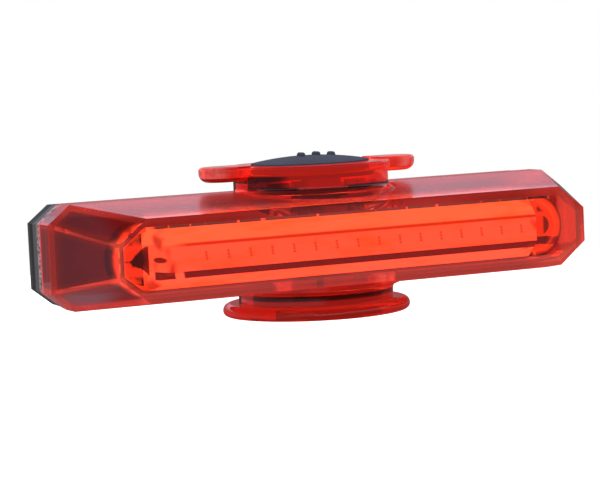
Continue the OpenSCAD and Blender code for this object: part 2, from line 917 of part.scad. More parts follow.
// Black holder of the switch: an arm on each side and a strap under it
module switch_bracket() {
    inner_x = switch_w / 2 + bracket_side;
    outer_x = inner_x + bracket_t;
    arm_top_z = bracket_arm_z + bracket_t;
    root_y = board_front_y - touch;
    color([0.06, 0.06, 0.07])
        union() {
            box([-outer_x, bracket_front_y, bracket_strap_z],
                [outer_x, root_y, bracket_strap_z + bracket_t]);
            for (side = [-1, 1])
                mirror([side < 0 ? 1 : 0, 0, 0]) {
                    box([inner_x, bracket_front_y, bracket_strap_z], [outer_x, root_y, arm_top_z]);
                    box([inner_x, bracket_front_y, bracket_arm_z], [bracket_reach, root_y, arm_top_z]);
                }
        }
}

// Block that stands on the switch bracket
module bracket_part(x, size) {
    arm_top_z = bracket_arm_z + bracket_t;
    box([x - size.x / 2, switch_y - size.y / 2, arm_top_z],
        [x + size.x / 2, switch_y + size.y / 2, arm_top_z + size.z]);
}

module bracket_peg() {
    color([0.9, 0.88, 0.84])
        translate([bracket_peg_x, switch_y, bracket_arm_z + bracket_t])
            cylinder(r = bracket_peg_r, h = bracket_peg_h);
}

module light_sensor() {
    color([0.05, 0.05, 0.06])
        bracket_part(sensor_x, sensor_size);
}

module status_led(x) {
    color([0.9, 0.88, 0.8])
        bracket_part(x, status_size);
}

// Steel shell of the charging socket, open downwards
module usb_shell() {
    color([0.75, 0.76, 0.78])
        difference() {
            box([-usb_w / 2, port_y - usb_d / 2, usb_mouth_z],
                [usb_w / 2, port_y + usb_d / 2, usb_back_z]);
            box([-usb_w / 2 + usb_t, port_y - usb_d / 2 + usb_t, usb_mouth_z - over],
                [usb_w / 2 - usb_t, port_y + usb_d / 2 - usb_t, usb_back_z - 2 * usb_t]);
        }
}

module usb_tongue() {
    half_w = usb_w / 4;
    color([0.1, 0.1, 0.1])
        box([-half_w, port_y - contact_t / 2, usb_mouth_z + contact_inset],
            [half_w, port_y + contact_t / 2, usb_back_z - 2 * usb_t]);
}

// Rubber cover over the charging port, with a plug that enters the socket
module port_cover() {
    end_x = flap_reach - flap_w / 2;
    plug_half_w = usb_w / 2 - usb_t - plug_gap_x;
    plug_half_d = usb_d / 2 - usb_t - plug_gap_y;
    color([0.07, 0.07, 0.08])
        union() {
            box([-flap_hinge + flap_gap, port_y - flap_w / 2, -dish_z],
                [end_x, port_y + flap_w / 2, flap_t - dish_z]);
            translate([end_x, port_y, -dish_z])
                cylinder(r = flap_w / 2, h = flap_t);
            box([-plug_half_w, port_y - plug_half_d, -dish_z + flap_t / 2],
                [plug_half_w, port_y + plug_half_d, usb_mouth_z + plug_in]);
        }
}

// Peg that holds the cover's anchor in the dish
module anchor_peg(gap, extra) {
    translate([-flap_hinge - anchor_l / 2, port_y, -dish_z + flap_t / 2])
        cylinder(r = peg_r + gap, h = dish_t - flap_t / 2 + extra);
}

module port_anchor() {
    color([0.07, 0.07, 0.08])
        union() {
            box([-flap_hinge - anchor_l, port_y - flap_w / 2, -dish_z],
                [-flap_hinge, port_y + flap_w / 2, flap_t - dish_z]);
            anchor_peg(0, 0);
        }
}

lens_housing();
rear_cover();
rear_pad();
seam_bead();
light_bar();
optic_frame();
led_board();
led_strip();
frame_screw(-1);  // frame_screw_left
frame_screw(1);  // frame_screw_right
main_board();
board_screw(-1);  // board_screw_left
board_screw(1);  // board_screw_right
charge_ic();
driver_ic();
inductor();
capacitor(-1);  // capacitor_left
capacitor(1);  // capacitor_right
battery();
battery_foam();
battery_socket();
battery_lead(1, [0.7, 0.05, 0.05]);  // battery_lead_red
battery_lead(-1, [0.06, 0.06, 0.06]);  // battery_lead_black
led_lead(1, [0.7, 0.05, 0.05]);  // led_lead_red
led_lead(-1, [0.06, 0.06, 0.06]);  // led_lead_black
power_button();
switch_body();
switch_plunger();
switch_bracket();
bracket_peg();
light_sensor();
status_led(charge_led_x);  // charge_led
status_led(battery_led_x);  // battery_led
usb_shell();
usb_tongue();
port_cover();
port_anchor();
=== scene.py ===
"""Looks of a bar-shaped bike rear light: a red faceted lens over a lit prism, a round hub with a rubber
button, a grey rear tray and a rubber cradle. All lengths are in metres, in the frame of the solids."""

import math
from functools import partial
from types import SimpleNamespace

import bpy
import numpy as np
from mathutils import Matrix, Vector


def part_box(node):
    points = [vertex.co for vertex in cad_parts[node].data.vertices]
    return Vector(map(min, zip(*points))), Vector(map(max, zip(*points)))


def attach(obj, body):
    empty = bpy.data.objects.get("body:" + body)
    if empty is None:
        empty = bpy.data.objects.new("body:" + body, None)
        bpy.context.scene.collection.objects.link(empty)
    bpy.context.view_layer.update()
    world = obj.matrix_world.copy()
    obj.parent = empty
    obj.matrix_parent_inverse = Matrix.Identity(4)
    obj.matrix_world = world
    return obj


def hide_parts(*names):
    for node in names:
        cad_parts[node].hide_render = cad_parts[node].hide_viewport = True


bl_info = {
    "name": "Bike Rear Light",
    "version": (1, 0, 0),
    "blender": (4, 5, 0),
    "location": "View3D > Sidebar > Rear Light",
    "description": "Dresses the solids of a bar-shaped rear light and sets its stage",
    "category": "Object",
}

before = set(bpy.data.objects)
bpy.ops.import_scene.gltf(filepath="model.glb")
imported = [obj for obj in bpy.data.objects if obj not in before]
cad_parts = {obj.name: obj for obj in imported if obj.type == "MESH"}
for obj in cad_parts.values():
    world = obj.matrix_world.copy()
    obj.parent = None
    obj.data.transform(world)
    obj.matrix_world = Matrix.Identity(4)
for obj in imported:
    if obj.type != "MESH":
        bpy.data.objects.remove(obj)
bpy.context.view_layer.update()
MM = 0.001
LENS_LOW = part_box("lens_housing")[0]
BAR_LOW, BAR_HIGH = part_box("light_bar")
BEAD_LOW, BEAD_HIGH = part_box("seam_bead")
PAD_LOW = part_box("rear_pad")[0]
BUTTON_LOW, BUTTON_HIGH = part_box("power_button")
FLAP_LOW, FLAP_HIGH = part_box("port_cover")
RIM_Y = BEAD_LOW.y
FRONT_Y = LENS_LOW.y
HUB = (BUTTON_LOW + BUTTON_HIGH) / 2
OPTIC = (BAR_LOW + BAR_HIGH) / 2
BODY = "light_body"

# Half length, half height and corner legs of the lens at its ridge and at its front face
RIDGE = np.array([50.0, 9.05, 4.0, 3.2]) * MM
FRONT = np.array([44.0, 6.95, 5.0, 4.0]) * MM
RIDGE_Y = RIM_Y - 4.5 * MM
WALL = 1.7 * MM
WALL_FALL = (RIDGE[1] - FRONT[1]) / (RIDGE_Y - FRONT_Y)
# Direction and distance of the straight wall at a corner
CORNER = (RIDGE[3] / math.hypot(RIDGE[2], RIDGE[3]), 0.0, RIDGE[2] / math.hypot(RIDGE[2], RIDGE[3]))
CORNER_AT = CORNER[0] * (RIDGE[0] - RIDGE[2]) + CORNER[2] * RIDGE[1]
# Where the painted dark wedge, the screw pit's image as the lens refracts it at the optic's left end,
# starts and stops, how fast it opens and how low it lies
WEDGE_TIP, WEDGE_END, WEDGE_OPEN, WEDGE_DROP = -42.3 * MM, -38.2 * MM, 0.57, 0.33 * MM
# The view's slant over depth, for marks at several depths that line up
SLANT = 0.47
# Lower and upper edge of the dark line over the optic, below its middle, as soft limits in millimetres
LINE_LOW, LINE_HIGH = (-3.6, -3.45), (-2.10, -2.25)
BLACK = (0, 0, 0)
# Colours that the zones of the lens let through; the neck and slots entries darken the lower neck, the
# neck's left side and the slots as painted shade
PLASTIC = {
    "end": (0.30, 0.020, 0.011), "plate": (0.22, 0.008, 0.004), "dish": (0.13, 0.005, 0.003),
    "neck": (0.07, 0.002, 0.001), "slots": (0.02, 0.001, 0.0005), "line": (0.002, 0.001, 0.002),
    "seat": (0.05, 0.004, 0.003)}
# Light that leaves the zones of the lens; the ears get painted highlights near their ends, and the dark
# entry is painted shade
GLOW = {
    "floor": (0.15, 0.005, 0.003), "end": (0.012, 0.001, 0.001), "left": (0.014, 0.011, 0.016),
    "left_low": (0.03, 0.04, 0.055), "neck_left": (0.03, 0.001, 0.001), "neck": (0.16, 0.005, 0.003),
    "dish": (0.17, 0.006, 0.003), "tips": (0.38, 0.085, 0.075), "dark": (0.01, 0, 0),
    "well": (1.0, 0.03, 0.015), "seat": (0.20, 0.03, 0.028), "seat_right": (0.40, 0.09, 0.09),
    "strip": (0.11, 0.013, 0.013), "sill": (0.13, 0.030, 0.028), "right": (0.08, 0.03, 0.02),
    "right_low": (0.22, 0.18, 0.17), "pane": (0.06, 0.02, 0.015), "edge": (0.05, 0.006, 0.005),
    "edge_low": (0.24, 0.03, 0.024), "edge_left": (0.45, 0.045, 0.025)}
# Kinds of property that come up often
Colour = partial(bpy.props.FloatVectorProperty, subtype="COLOR", min=0, max=1)
Length = partial(bpy.props.FloatProperty, unit="LENGTH")


class LensProps(bpy.types.PropertyGroup):
    """Sizes and colours of the red lens."""

    tint: Colour(name="Tint", description="Colour that one wall lets through", default=(0.50, 0.028, 0.012))
    index: bpy.props.FloatProperty(
        name="Refraction", description="Index of refraction of the plastic", default=1.5, min=1, max=2)
    edge_width: Length(
        name="Edge width", description="Width of the glow along a facet's edge",
        default=0.0011, min=0.0001, max=0.002)
    edge_glow: Colour(
        name="Edge glow", description="Light that leaves the lens at its edges",
        default=(0.11, 0.012, 0.010))
    wall_glow: Colour(
        name="Wall glow", description="Light that leaves the long walls beside the bar",
        default=(0.03, 0.004, 0.004))
    facet_rough: bpy.props.FloatProperty(
        name="Facet roughness", description="Roughness of the long facets", default=0.24, min=0, max=1)
    rim_glow: Colour(
        name="Rim glow", description="Light that leaves the lens at its rim", default=(0.75, 0.055, 0.03))
    hub_glow: Colour(
        name="Hub glow", description="Light that leaves the hub's top plate", default=(0.26, 0.008, 0.004))
    inner_glow: Colour(
        name="Inner glow", description="Light on the inside of the long walls",
        default=(0.14, 0.032, 0.030))
    hub_rough: bpy.props.FloatProperty(
        name="Hub roughness", description="Roughness of the facets close to the hub", default=0.23,
        min=0, max=1)


class BarProps(bpy.types.PropertyGroup):
    """Glow and marks of the light bar."""

    glow: bpy.props.FloatProperty(
        name="Glow", description="Strength of the light bar's light", default=5.2, min=0, max=8)
    upper: Colour(name="Upper band", description="Light of the upper slope", default=(0.8, 1.0, 0.78))
    middle: Colour(name="Middle band", description="Light of the front face", default=(0.8, 0.70, 0.66))
    lower: Colour(name="Lower band", description="Light of the lower slope", default=(0.8, 0.88, 0.92))
    led_pitch: Length(
        name="LED pitch", description="Distance from one LED mark to the next",
        default=0.004005, min=0.002, max=0.01)
    led_start: Length(
        name="First LED", description="Place of the first LED mark along the bar",
        default=-0.02821, min=-0.04, max=0.04)


class ButtonProps(bpy.types.PropertyGroup):
    """Colour and raised sign of the button."""

    colour: Colour(
        name="Rubber", description="Colour of the button's rubber", default=(0.050, 0.058, 0.092))
    sign_radius: Length(
        name="Sign radius", description="Radius of the sign's two arcs",
        default=0.0030, min=0.001, max=0.006)
    sign_width: Length(
        name="Sign width", description="Width of the sign's ridge", default=0.0010, min=0.0003, max=0.002)
    sign_height: Length(
        name="Sign height", description="Height of the sign's ridge", default=0.0006, min=0.0001, max=0.001)
    sign_shift: Length(
        name="Sign shift", description="Place of the sign to the right of the button's axis",
        default=0.0013, min=-0.003, max=0.003)


class StageProps(bpy.types.PropertyGroup):
    """Floor, light and camera."""

    floor_z: Length(name="Floor", description="Height of the floor", default=-0.030)
    sky: bpy.props.FloatProperty(
        name="Sky", description="Light of the surrounding white", default=0.6, min=0, max=2)
    distance: Length(
        name="Camera distance", description="Distance of the camera from the rim's middle", default=0.420)
    yaw: bpy.props.FloatProperty(
        name="Yaw", description="Turn of the camera to the left", subtype="ANGLE",
        default=math.radians(25.20))
    pitch: bpy.props.FloatProperty(
        name="Pitch", description="Height of the camera as an angle", subtype="ANGLE",
        default=math.radians(4.45))
    roll: bpy.props.FloatProperty(
        name="Roll", description="Roll of the camera", subtype="ANGLE", default=math.radians(2.73))
    focal: bpy.props.FloatProperty(
        name="Focal length", description="Focal length in millimetres", default=141.68)
    shift: bpy.props.FloatVectorProperty(
        name="Shift", description="Shift of the picture's middle", size=2, default=(-0.0133, -0.0227))


def opaque(colour):
    """A colour with full opacity; a socket stays as it is."""
    return colour if isinstance(colour, bpy.types.NodeSocket) else (*tuple(colour)[:3], 1.0)


class Nodes:
    """Adds and joins the nodes of one tree."""

    def __init__(self, tree):
        self.tree = tree

    def feed(self, socket, value):
        """Links a socket to another, or sets its own value."""
        if isinstance(value, bpy.types.NodeSocket):
            self.tree.links.new(value, socket)
        else:
            socket.default_value = value

    def add(self, kind, inputs=None, **settings):
        """A new node with its settings and inputs."""
        node = self.tree.nodes.new(kind)
        for name, value in settings.items():
            setattr(node, name, value)
        for key, value in (inputs or {}).items():
            self.feed(node.inputs[key], value)
        return node

    def math(self, operation, *values, clamp=False):
        """One sum on numbers or sockets."""
        return self.add("ShaderNodeMath", dict(enumerate(values)), operation=operation,
                        use_clamp=clamp).outputs[0]

    def plus(self, a, b):
        """The sum of two values."""
        return self.math("ADD", a, b)

    def less(self, a, b):
        """The first value without the second."""
        return self.math("SUBTRACT", a, b)

    def times(self, first, *others):
        """The product of some values."""
        for other in others:
            first = self.math("MULTIPLY", first, other)
        return first

    def most(self, a, b):
        """The larger of two values."""
        return self.math("MAXIMUM", a, b)

    def flip(self, value):
        """One without a value, which turns a mask round."""
        return self.less(1.0, value)

    def size(self, value):
        """A value without its sign."""
        return self.math("ABSOLUTE", value)

    def off(self, value, middle):
        """How far a value lies from a middle."""
        return self.size(self.less(value, middle))

    def radius(self, a, b):
        """Length of the side across from a right angle."""
        return self.math("SQRT", self.plus(self.times(a, a), self.times(b, b)))

    def step(self, value, low, high):
        """A smooth rise from 0 at low to 1 at high."""
        return self.add("ShaderNodeMapRange", {0: value, 1: low, 2: high, 3: 0.0, 4: 1.0},
                        interpolation_type="SMOOTHSTEP").outputs[0]

    def rise(self, value, low, high, start=0.0):
        """A step between two lengths in millimetres, counted from a start in metres."""
        return self.step(value, start + low * MM, start + high * MM)

    def mix(self, factor, a, b, blend="MIX"):
        """A colour mixed from a to b."""
        node = self.add("ShaderNodeMix", {0: factor, 6: opaque(a), 7: opaque(b)}, data_type="RGBA",
                        blend_type=blend)
        return node.outputs[2]

    def paint(self, base, *layers):
        """A colour with layers over it, each a mask and a colour."""
        for mask, colour in layers:
            base = self.mix(mask, base, colour)
        return base

    def noise(self, place, scale, detail=2.0, rough=0.5):
        """Soft noise between 0 and 1."""
        node = self.add("ShaderNodeTexNoise",
                        {"Vector": place, "Scale": scale, "Detail": detail, "Roughness": rough})
        return node.outputs["Fac"]

    def stretch(self, place, scale, turn=(0.0, 0.0, 0.0)):
        """A place turned and scaled along each axis."""
        return self.add("ShaderNodeMapping", {"Vector": place, "Rotation": turn, "Scale": scale}).outputs[0]

    def dot(self, place, direction):
        """How far a place lies along a direction."""
        return self.add("ShaderNodeVectorMath", {0: place, 1: direction},
                        operation="DOT_PRODUCT").outputs["Value"]

    def folded(self, place):
        """A place without its signs."""
        return self.add("ShaderNodeVectorMath", {0: place}, operation="ABSOLUTE").outputs[0]

    def parts(self, place):
        """The x, y and z of a place."""
        return self.add("ShaderNodeSeparateXYZ", {0: place}).outputs

    def group(self, name, inputs):
        """A shared effect with its own values."""
        return self.add("ShaderNodeGroup", inputs, node_tree=shared(name)).outputs


def new_group(name, inputs, outputs):
    """An empty effect group with float sockets, and a vector socket named Place."""
    tree = bpy.data.node_groups.new(name, "ShaderNodeTree")
    for key in inputs:
        kind = "NodeSocketVector" if key == "Place" else "NodeSocketFloat"
        tree.interface.new_socket(key, in_out="INPUT", socket_type=kind)
    for key in outputs:
        tree.interface.new_socket(key, in_out="OUTPUT", socket_type="NodeSocketFloat")
    nodes = Nodes(tree)
    return tree, nodes, nodes.add("NodeGroupInput").outputs, nodes.add("NodeGroupOutput").inputs


def grain_group():
    """Moulded grain: a fine noise as height, and a broad one as tone."""
    tree, n, given, made = new_group("Moulded grain", ["Place", "Fineness"], ["Height", "Tone"])
    n.feed(made["Height"], n.noise(given["Place"], given["Fineness"], 3.0, 0.6))
    n.feed(made["Tone"], n.noise(given["Place"], n.times(given["Fineness"], 0.06)))
    return tree


def scuff_group():
    """Handling marks: stretched noise cut to thin streaks, and a sparse field of specks."""
    tree, n, given, made = new_group("Handling marks", ["Place", "Amount"], ["Streaks", "Specks"])
    turned = n.stretch(given["Place"], (180.0, 2600.0, 2600.0), (0.3, 0.5, 0.7))
    streak = n.step(n.noise(turned, 1.0, 2.0, 0.6), 0.66, 0.74)
    speck = n.step(n.noise(given["Place"], 2300.0, 0.0), 0.80, 0.86)
    n.feed(made["Streaks"], n.times(streak, given["Amount"]))
    n.feed(made["Specks"], n.times(speck, given["Amount"]))
    return tree


def lens_planes():
    """Planes of one quarter of the lens as unit normal and offset: front, three facets, three walls."""
    run = RIDGE_Y - FRONT_Y
    planes = [((0.0, 1.0, 0.0), FRONT_Y)]
    for x, z in ((1.0, 0.0), (0.0, 1.0), (CORNER[0], CORNER[2])):
        edge = [x * (o[0] - (o[2] if z else 0)) + z * (o[1]) for o in (RIDGE, FRONT)]
        fall = (edge[0] - edge[1]) / run
        size = math.sqrt(1 + fall * fall)
        planes.append(((x / size, -fall / size, z / size), (edge[0] - fall * RIDGE_Y) / size))
        planes.append(((x, 0.0, z), edge[0]))
    return planes


def facet_group():
    """Lens edges: each facet's plane gives 1 on itself, falling to 0 at one width away.
    Where two planes meet the sum passes 1, so sum - 1 marks the edges."""
    tree, n, given, made = new_group("Lens edges", ["Place", "Width"], ["Edge"])
    across = n.parts(n.folded(given["Place"]))
    depth = n.parts(given["Place"])["Y"]
    place = n.add("ShaderNodeCombineXYZ", {0: across["X"], 1: depth, 2: across["Z"]}).outputs[0]
    total = 0.0
    for normal, offset in lens_planes():
        away = n.off(n.dot(place, normal), offset)
        near = n.math("SUBTRACT", 1.0, n.math("DIVIDE", away, given["Width"]), clamp=True)
        total = n.plus(total, near)
    n.feed(made["Edge"], n.math("SUBTRACT", total, 1.0, clamp=True))
    return tree


SHARED = {}


def shared(name):
    """The effect groups, each built once."""
    if name not in SHARED:
        SHARED[name] = {"grain": grain_group, "scuffs": scuff_group, "facets": facet_group}[name]()
    return SHARED[name]


def new_finish(name):
    """A material with its shader, its output and the place on the piece."""
    material = bpy.data.materials.new(name)
    material.use_nodes = True
    material.node_tree.nodes.clear()
    n = Nodes(material.node_tree)
    shader = n.add("ShaderNodeBsdfPrincipled")
    output = n.add("ShaderNodeOutputMaterial", {0: shader.outputs[0]})
    place = n.add("ShaderNodeTexCoord").outputs["Object"]
    return material, n, shader, output, place


def surface(n, shader, colour, rough, height=None, strength=0.0, depth=0.0, metal=0.0):
    """Feeds a shader its colour, its roughness, its metal and, where a height is given, its bump."""
    n.feed(shader.inputs["Base Color"], colour)
    n.feed(shader.inputs["Roughness"], rough)
    shader.inputs["Metallic"].default_value = metal
    if height is not None:
        bump = n.add("ShaderNodeBump", {"Height": height, "Strength": strength, "Distance": depth})
        n.feed(shader.inputs["Normal"], bump.outputs[0])


def shine_out(n, shader, colour, strength):
    """Gives a shader a light of its own."""
    n.feed(shader.inputs["Emission Color"], colour)
    shader.inputs["Emission Strength"].default_value = strength


def cover_inside(n, shader, place, tone):
    """Light from the optic on the inside of the rear cover, and the cover's black back edge."""
    at = n.parts(place)
    wide, high = n.size(at["X"]), n.size(at["Z"])
    inner = n.times(n.rise(at["Y"], 5.4, 4.9, RIM_Y), n.rise(high, 8.3, 7.9), n.rise(wide, 49.2, 48.8),
                    n.rise(n.dot(n.folded(place), CORNER), -1.0, -1.3, CORNER_AT))
    lit = n.mix(n.rise(wide, 42, 34), (0.14, 0.02, 0.02), (0.22, 0.04, 0.04))
    lit = n.mix(n.rise(at["X"], 42, 46), lit, (2.4, 2.2, 2.8))
    shine_out(n, shader, n.mix(inner, BLACK, lit), 1.0)
    return n.mix(n.rise(at["Y"], -1.75, -1.65, PAD_LOW.y), tone, (0.01, 0.01, 0.012))


def moulded(name, colour, rough, fineness, depth, vary=0.12, metal=0.0, scuff=0.3, sheen=0.0,
            inside=False):
    """A moulded or coated finish: grain in the bump, tone in the colour, streaks in the roughness."""
    material, n, shader, _, place = new_finish(name)
    grain = n.group("grain", {"Place": place, "Fineness": fineness})
    marks = n.group("scuffs", {"Place": place, "Amount": scuff})
    dark = [c * (1 - vary) for c in colour]
    pale = [min(1.0, c * (1 + vary)) for c in colour]
    tone = n.mix(grain["Tone"], dark, pale)
    if inside:
        tone = cover_inside(n, shader, place, tone)
    dusty = [min(1.0, c * 0.7 + 0.12) for c in colour]
    shine = n.plus(rough - 0.05, n.times(grain["Height"], 0.10))
    surface(n, shader, n.mix(marks["Specks"], tone, dusty), n.plus(shine, n.times(marks["Streaks"], 0.15)),
            grain["Height"], 0.5, depth, metal)
    shader.inputs["Sheen Weight"].default_value = sheen
    return material


def dress(material, *names):
    """Gives solids their finish."""
    for name in names:
        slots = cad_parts[name].data.materials
        slots.clear()
        slots.append(material)


def dress_moulded(*rows):
    """Moulded finishes from rows of name, colour, roughness, fineness, depth in millimetres and solids."""
    for name, colour, rough, fineness, depth, *solids in rows:
        dress(moulded(name, colour, rough, fineness, depth * MM), *solids)


def in_scene(name, data):
    """A new object in the scene."""
    thing = bpy.data.objects.new(name, data)
    bpy.context.scene.collection.objects.link(thing)
    return thing


def new_mesh(name, points, faces, material):
    """A new object made of points and faces."""
    mesh = bpy.data.meshes.new(name)
    mesh.from_pydata(points.tolist(), [], faces)
    mesh.update()
    mesh.materials.append(material)
    return in_scene(name, mesh)


def new_piece(name, points, faces, material, body):
    """A smooth piece made of points and faces, riding on a body."""
    piece = new_mesh(name, points, faces, material)
    piece.data.shade_smooth()
    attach(piece, body)
    return piece


def grid_faces(rows, columns, closed):
    """Quads of a grid whose columns close on themselves, and whose rows do if closed."""
    i = np.arange(rows if closed else rows - 1)[:, None]
    j = np.arange(columns)[None, :]
    a = i * columns + j
    b = i * columns + (j + 1) % columns
    c = (i + 1) % rows * columns + (j + 1) % columns
    d = (i + 1) % rows * columns + j
    return np.stack([a, b, c, d], -1).reshape(-1, 4).tolist()


def arc_length(path):
    """Length along a path up to each of its points."""
    return np.r_[0, np.cumsum(np.linalg.norm(np.diff(path, axis=0), axis=1))]


def unit(rows):
    """Rows as directions of length one."""
    return rows / np.linalg.norm(rows, axis=1)[:, None]


def ridge(path, side, up, width, height):
    """A rounded ridge along a path. At arc length s and angle t the surface is
    path(s) + side * width/2 * f(s) * cos t + up * height * f(s) * r(t), where r(t) rises as the 0.7th
    power of sin t and is flat below, and f(s) rounds both ends as a quarter circle does."""
    length = arc_length(path)
    reach = np.minimum(length, length[-1] - length) / (width / 2)
    f = np.sqrt(np.clip(1 - (1 - np.clip(reach, 0.06, 1)) ** 2, 0, 1))[:, None, None]
    t = np.linspace(0, 2 * np.pi, 16, endpoint=False)
    rise = np.where(np.sin(t) > 0, np.abs(np.sin(t)) ** 0.7, np.sin(t) * 0.25)
    points = (path[:, None, :] + side[:, None, :] * (width / 2) * f * np.cos(t)[None, :, None]
              + up[:, None, :] * height * f * rise[None, :, None])
    rows, columns = len(path), len(t)
    faces = grid_faces(rows, columns, False)
    faces.append(list(range(columns - 1, -1, -1)))
    faces.append(list(range((rows - 1) * columns, rows * columns)))
    return points.reshape(-1, 3), faces


def turned_out(points, faces):
    """Faces with their order turned if the quads look inwards: the sum of each quad's area vector times
    its place, about the middle of all points, is then negative."""
    a, b, c, d = (points[np.array([face for face in faces if len(face) == 4])]
                  - points.mean(0)).transpose(1, 0, 2)
    area = np.cross(c - a, d - b)
    return faces if (area * (a + b + c + d)).sum() > 0 else [face[::-1] for face in faces]


def joined(shells):
    """Points and faces of several shells as one mesh."""
    points, faces, start = [], [], 0
    for some, around in shells:
        faces += [[i + start for i in face] for face in turned_out(some, around)]
        points.append(some)
        start += len(some)
    return np.concatenate(points), faces


def ridges(name, tracks, width, height, material, body):
    """Several ridges as one piece; each track is a path with its side and up directions."""
    points, faces = joined([ridge(*track, width, height) for track in tracks])
    return new_piece(name, points, faces, material, body)


def hub_zones(n, zone, place):
    """Masks of the hub: its neck, plate, ears and dish, painted highlights near the ears' ends, painted
    shade in the slots, on the lower neck and on the neck's left side, and the lit front of its well.
    """
    x, depth, z, away = zone.x, zone.depth, zone.z, zone.away
    zone.hub = n.rise(zone.high, 0.1, 0.4, RIDGE[1])
    plate = n.rise(z, 11.5, 11.7)
    zone.dish = n.rise(z, -9.9, -10.3)
    zone.ends = n.most(plate, zone.dish)
    between = n.flip(zone.ends)
    # painted shade where the lower neck meets the body
    zone.low_neck = n.times(n.rise(z, 0, -0.1, -RIDGE[1]), n.rise(away, 15.2, 14.4), between)
    # painted shade on the left side of the neck
    zone.flank = n.times(zone.hub, n.rise(x, -9.4, -10.2), between)
    # painted highlights near the ears' ends, in broken patches
    tips = n.rise(n.off(x, HUB.x - 0.8 * MM), 15.6, 18.4)
    zone.tips = n.times(plate, tips, n.step(n.noise(place, 420.0, 2.0, 0.6), 0.25, 0.60))
    # the slots, darkened as painted shade, lie at the foot of the upper neck, on both sides of the switch
    switch = n.times(n.rise(x, -8.1, -7.5), n.rise(x, 0.8, 0.2))
    zone.slots = n.times(n.rise(z, 9.70, 9.50), n.rise(z, 9.06, 9.12), n.rise(away, 14.6, 14.2),
                         n.rise(depth, 1, -3, HUB.y), n.flip(switch))
    zone.well = n.times(n.rise(n.off(depth, HUB.y - 1.0 * MM), 0.1, 0.05), n.rise(away, 12.0, 11.8),
                        n.rise(z, 4, 6))


def rim_zones(n, zone):
    """Masks of the rim, of its seat on the bead and of the straight wall at both ends."""
    zone.seat = n.times(n.rise(zone.depth, -0.05, -0.02, RIM_Y), n.flip(zone.hub))
    outer = n.most(n.rise(zone.high, 8.0, 8.6), n.rise(zone.wide, 49.0, 49.4))
    zone.rim = n.times(n.rise(n.off(zone.depth, RIM_Y), 0.7, 0.1), outer,
                       n.flip(n.most(zone.seat, zone.hub)))
    zone.end = n.times(n.rise(zone.depth, -0.1, 0.3, RIDGE_Y), n.rise(zone.wide, 40, 46))


def wall_zones(n, zone):
    """Masks of the long walls, outside and inside."""
    high, wide, away = zone.high, zone.wide, zone.away
    zone.above = n.rise(high, -0.05, 0.35, FRONT[1])
    zone.below = n.rise(zone.z, 1, -1)
    zone.facet = n.times(zone.above, n.rise(high, 0.1, 0, RIDGE[1]), n.rise(away, 14.8, 15.6))
    zone.near = n.times(n.rise(away, 40, 25), zone.facet)
    zone.beside = n.plus(0.35, n.times(n.rise(wide, 48, 33), 0.65))
    slope = n.times(n.math("MINIMUM", n.less(zone.depth, RIDGE_Y), 0.0), WALL_FALL)
    from_wall = n.off(high, n.plus(RIDGE[1] - WALL, slope))
    zone.inside = n.times(n.rise(from_wall, 0.4, 0.25), n.rise(wide, 42, 36),
                          n.flip(n.times(n.rise(zone.z, -1, 1), 0.85)))


def front_zones(n, zone, place):
    """Masks of the front: strips above and below the bar, a pane at its right end, the facets of both ends
    and a broken dark line along the inner edge of the front wall, above the bar."""
    x, depth, z, wide = zone.x, zone.depth, zone.z, zone.wide
    front = n.rise(n.off(depth, FRONT_Y), 0.1, 0.05)
    zone.strip = n.times(front, n.rise(z, 5.0, 5.3), n.rise(wide, 26, 12))
    zone.sill = n.times(front, n.rise(z, -5.0, -5.3))
    zone.pane = n.times(front, n.rise(x, 38.2, 39.4), n.rise(x, 43.0, 41.5))
    zone.right = n.times(n.rise(x, 39, 41), n.rise(depth, 0, -1, RIDGE_Y), n.rise(z, 4.5, 2.0))
    zone.left = n.times(n.rise(x, -38, -41), n.rise(zone.high, 4.4, 3.2))
    zone.ahead = n.rise(depth, 3, 1, FRONT_Y)
    dash = n.step(n.noise(n.stretch(place, (1.0, 0.0, 0.0)), 700.0, 2.0, 0.6), 0.30, 0.42)
    zone.line = n.times(n.rise(n.off(depth, FRONT_Y + WALL), 0.08, 0.05), n.rise(z, 4.93, 5.05),
                        n.rise(wide, 38.5, 37), dash)


def lens_zones(n, place):
    """Masks of the lens's zones, from the depth, the height, the length and the distance to the hub's axis.
    Limits are in millimetres, first where a mask is 0 and then where it is 1."""
    x, depth, z = n.parts(place)
    away = n.radius(n.less(x, HUB.x), n.less(depth, HUB.y))
    zone = SimpleNamespace(x=x, depth=depth, z=z, high=n.size(z), wide=n.size(x), away=away)
    hub_zones(n, zone, place)
    rim_zones(n, zone)
    wall_zones(n, zone)
    front_zones(n, zone, place)
    return zone


def lens_plastic(n, zone, place, tint):
    """Colour that each zone of the lens lets through, with painted shade on the lower neck, on the neck's
    left side and in the slots.
    """
    deep = [c * 0.94 for c in tint]
    return n.paint(
        n.mix(n.noise(place, 60.0), deep, tint),
        (zone.end, PLASTIC["end"]),
        (zone.ends, n.mix(zone.dish, PLASTIC["plate"], PLASTIC["dish"])),
        (n.most(zone.low_neck, zone.flank), PLASTIC["neck"]),
        (zone.slots, PLASTIC["slots"]),
        (zone.line, PLASTIC["line"]),
        (zone.seat, PLASTIC["seat"]))


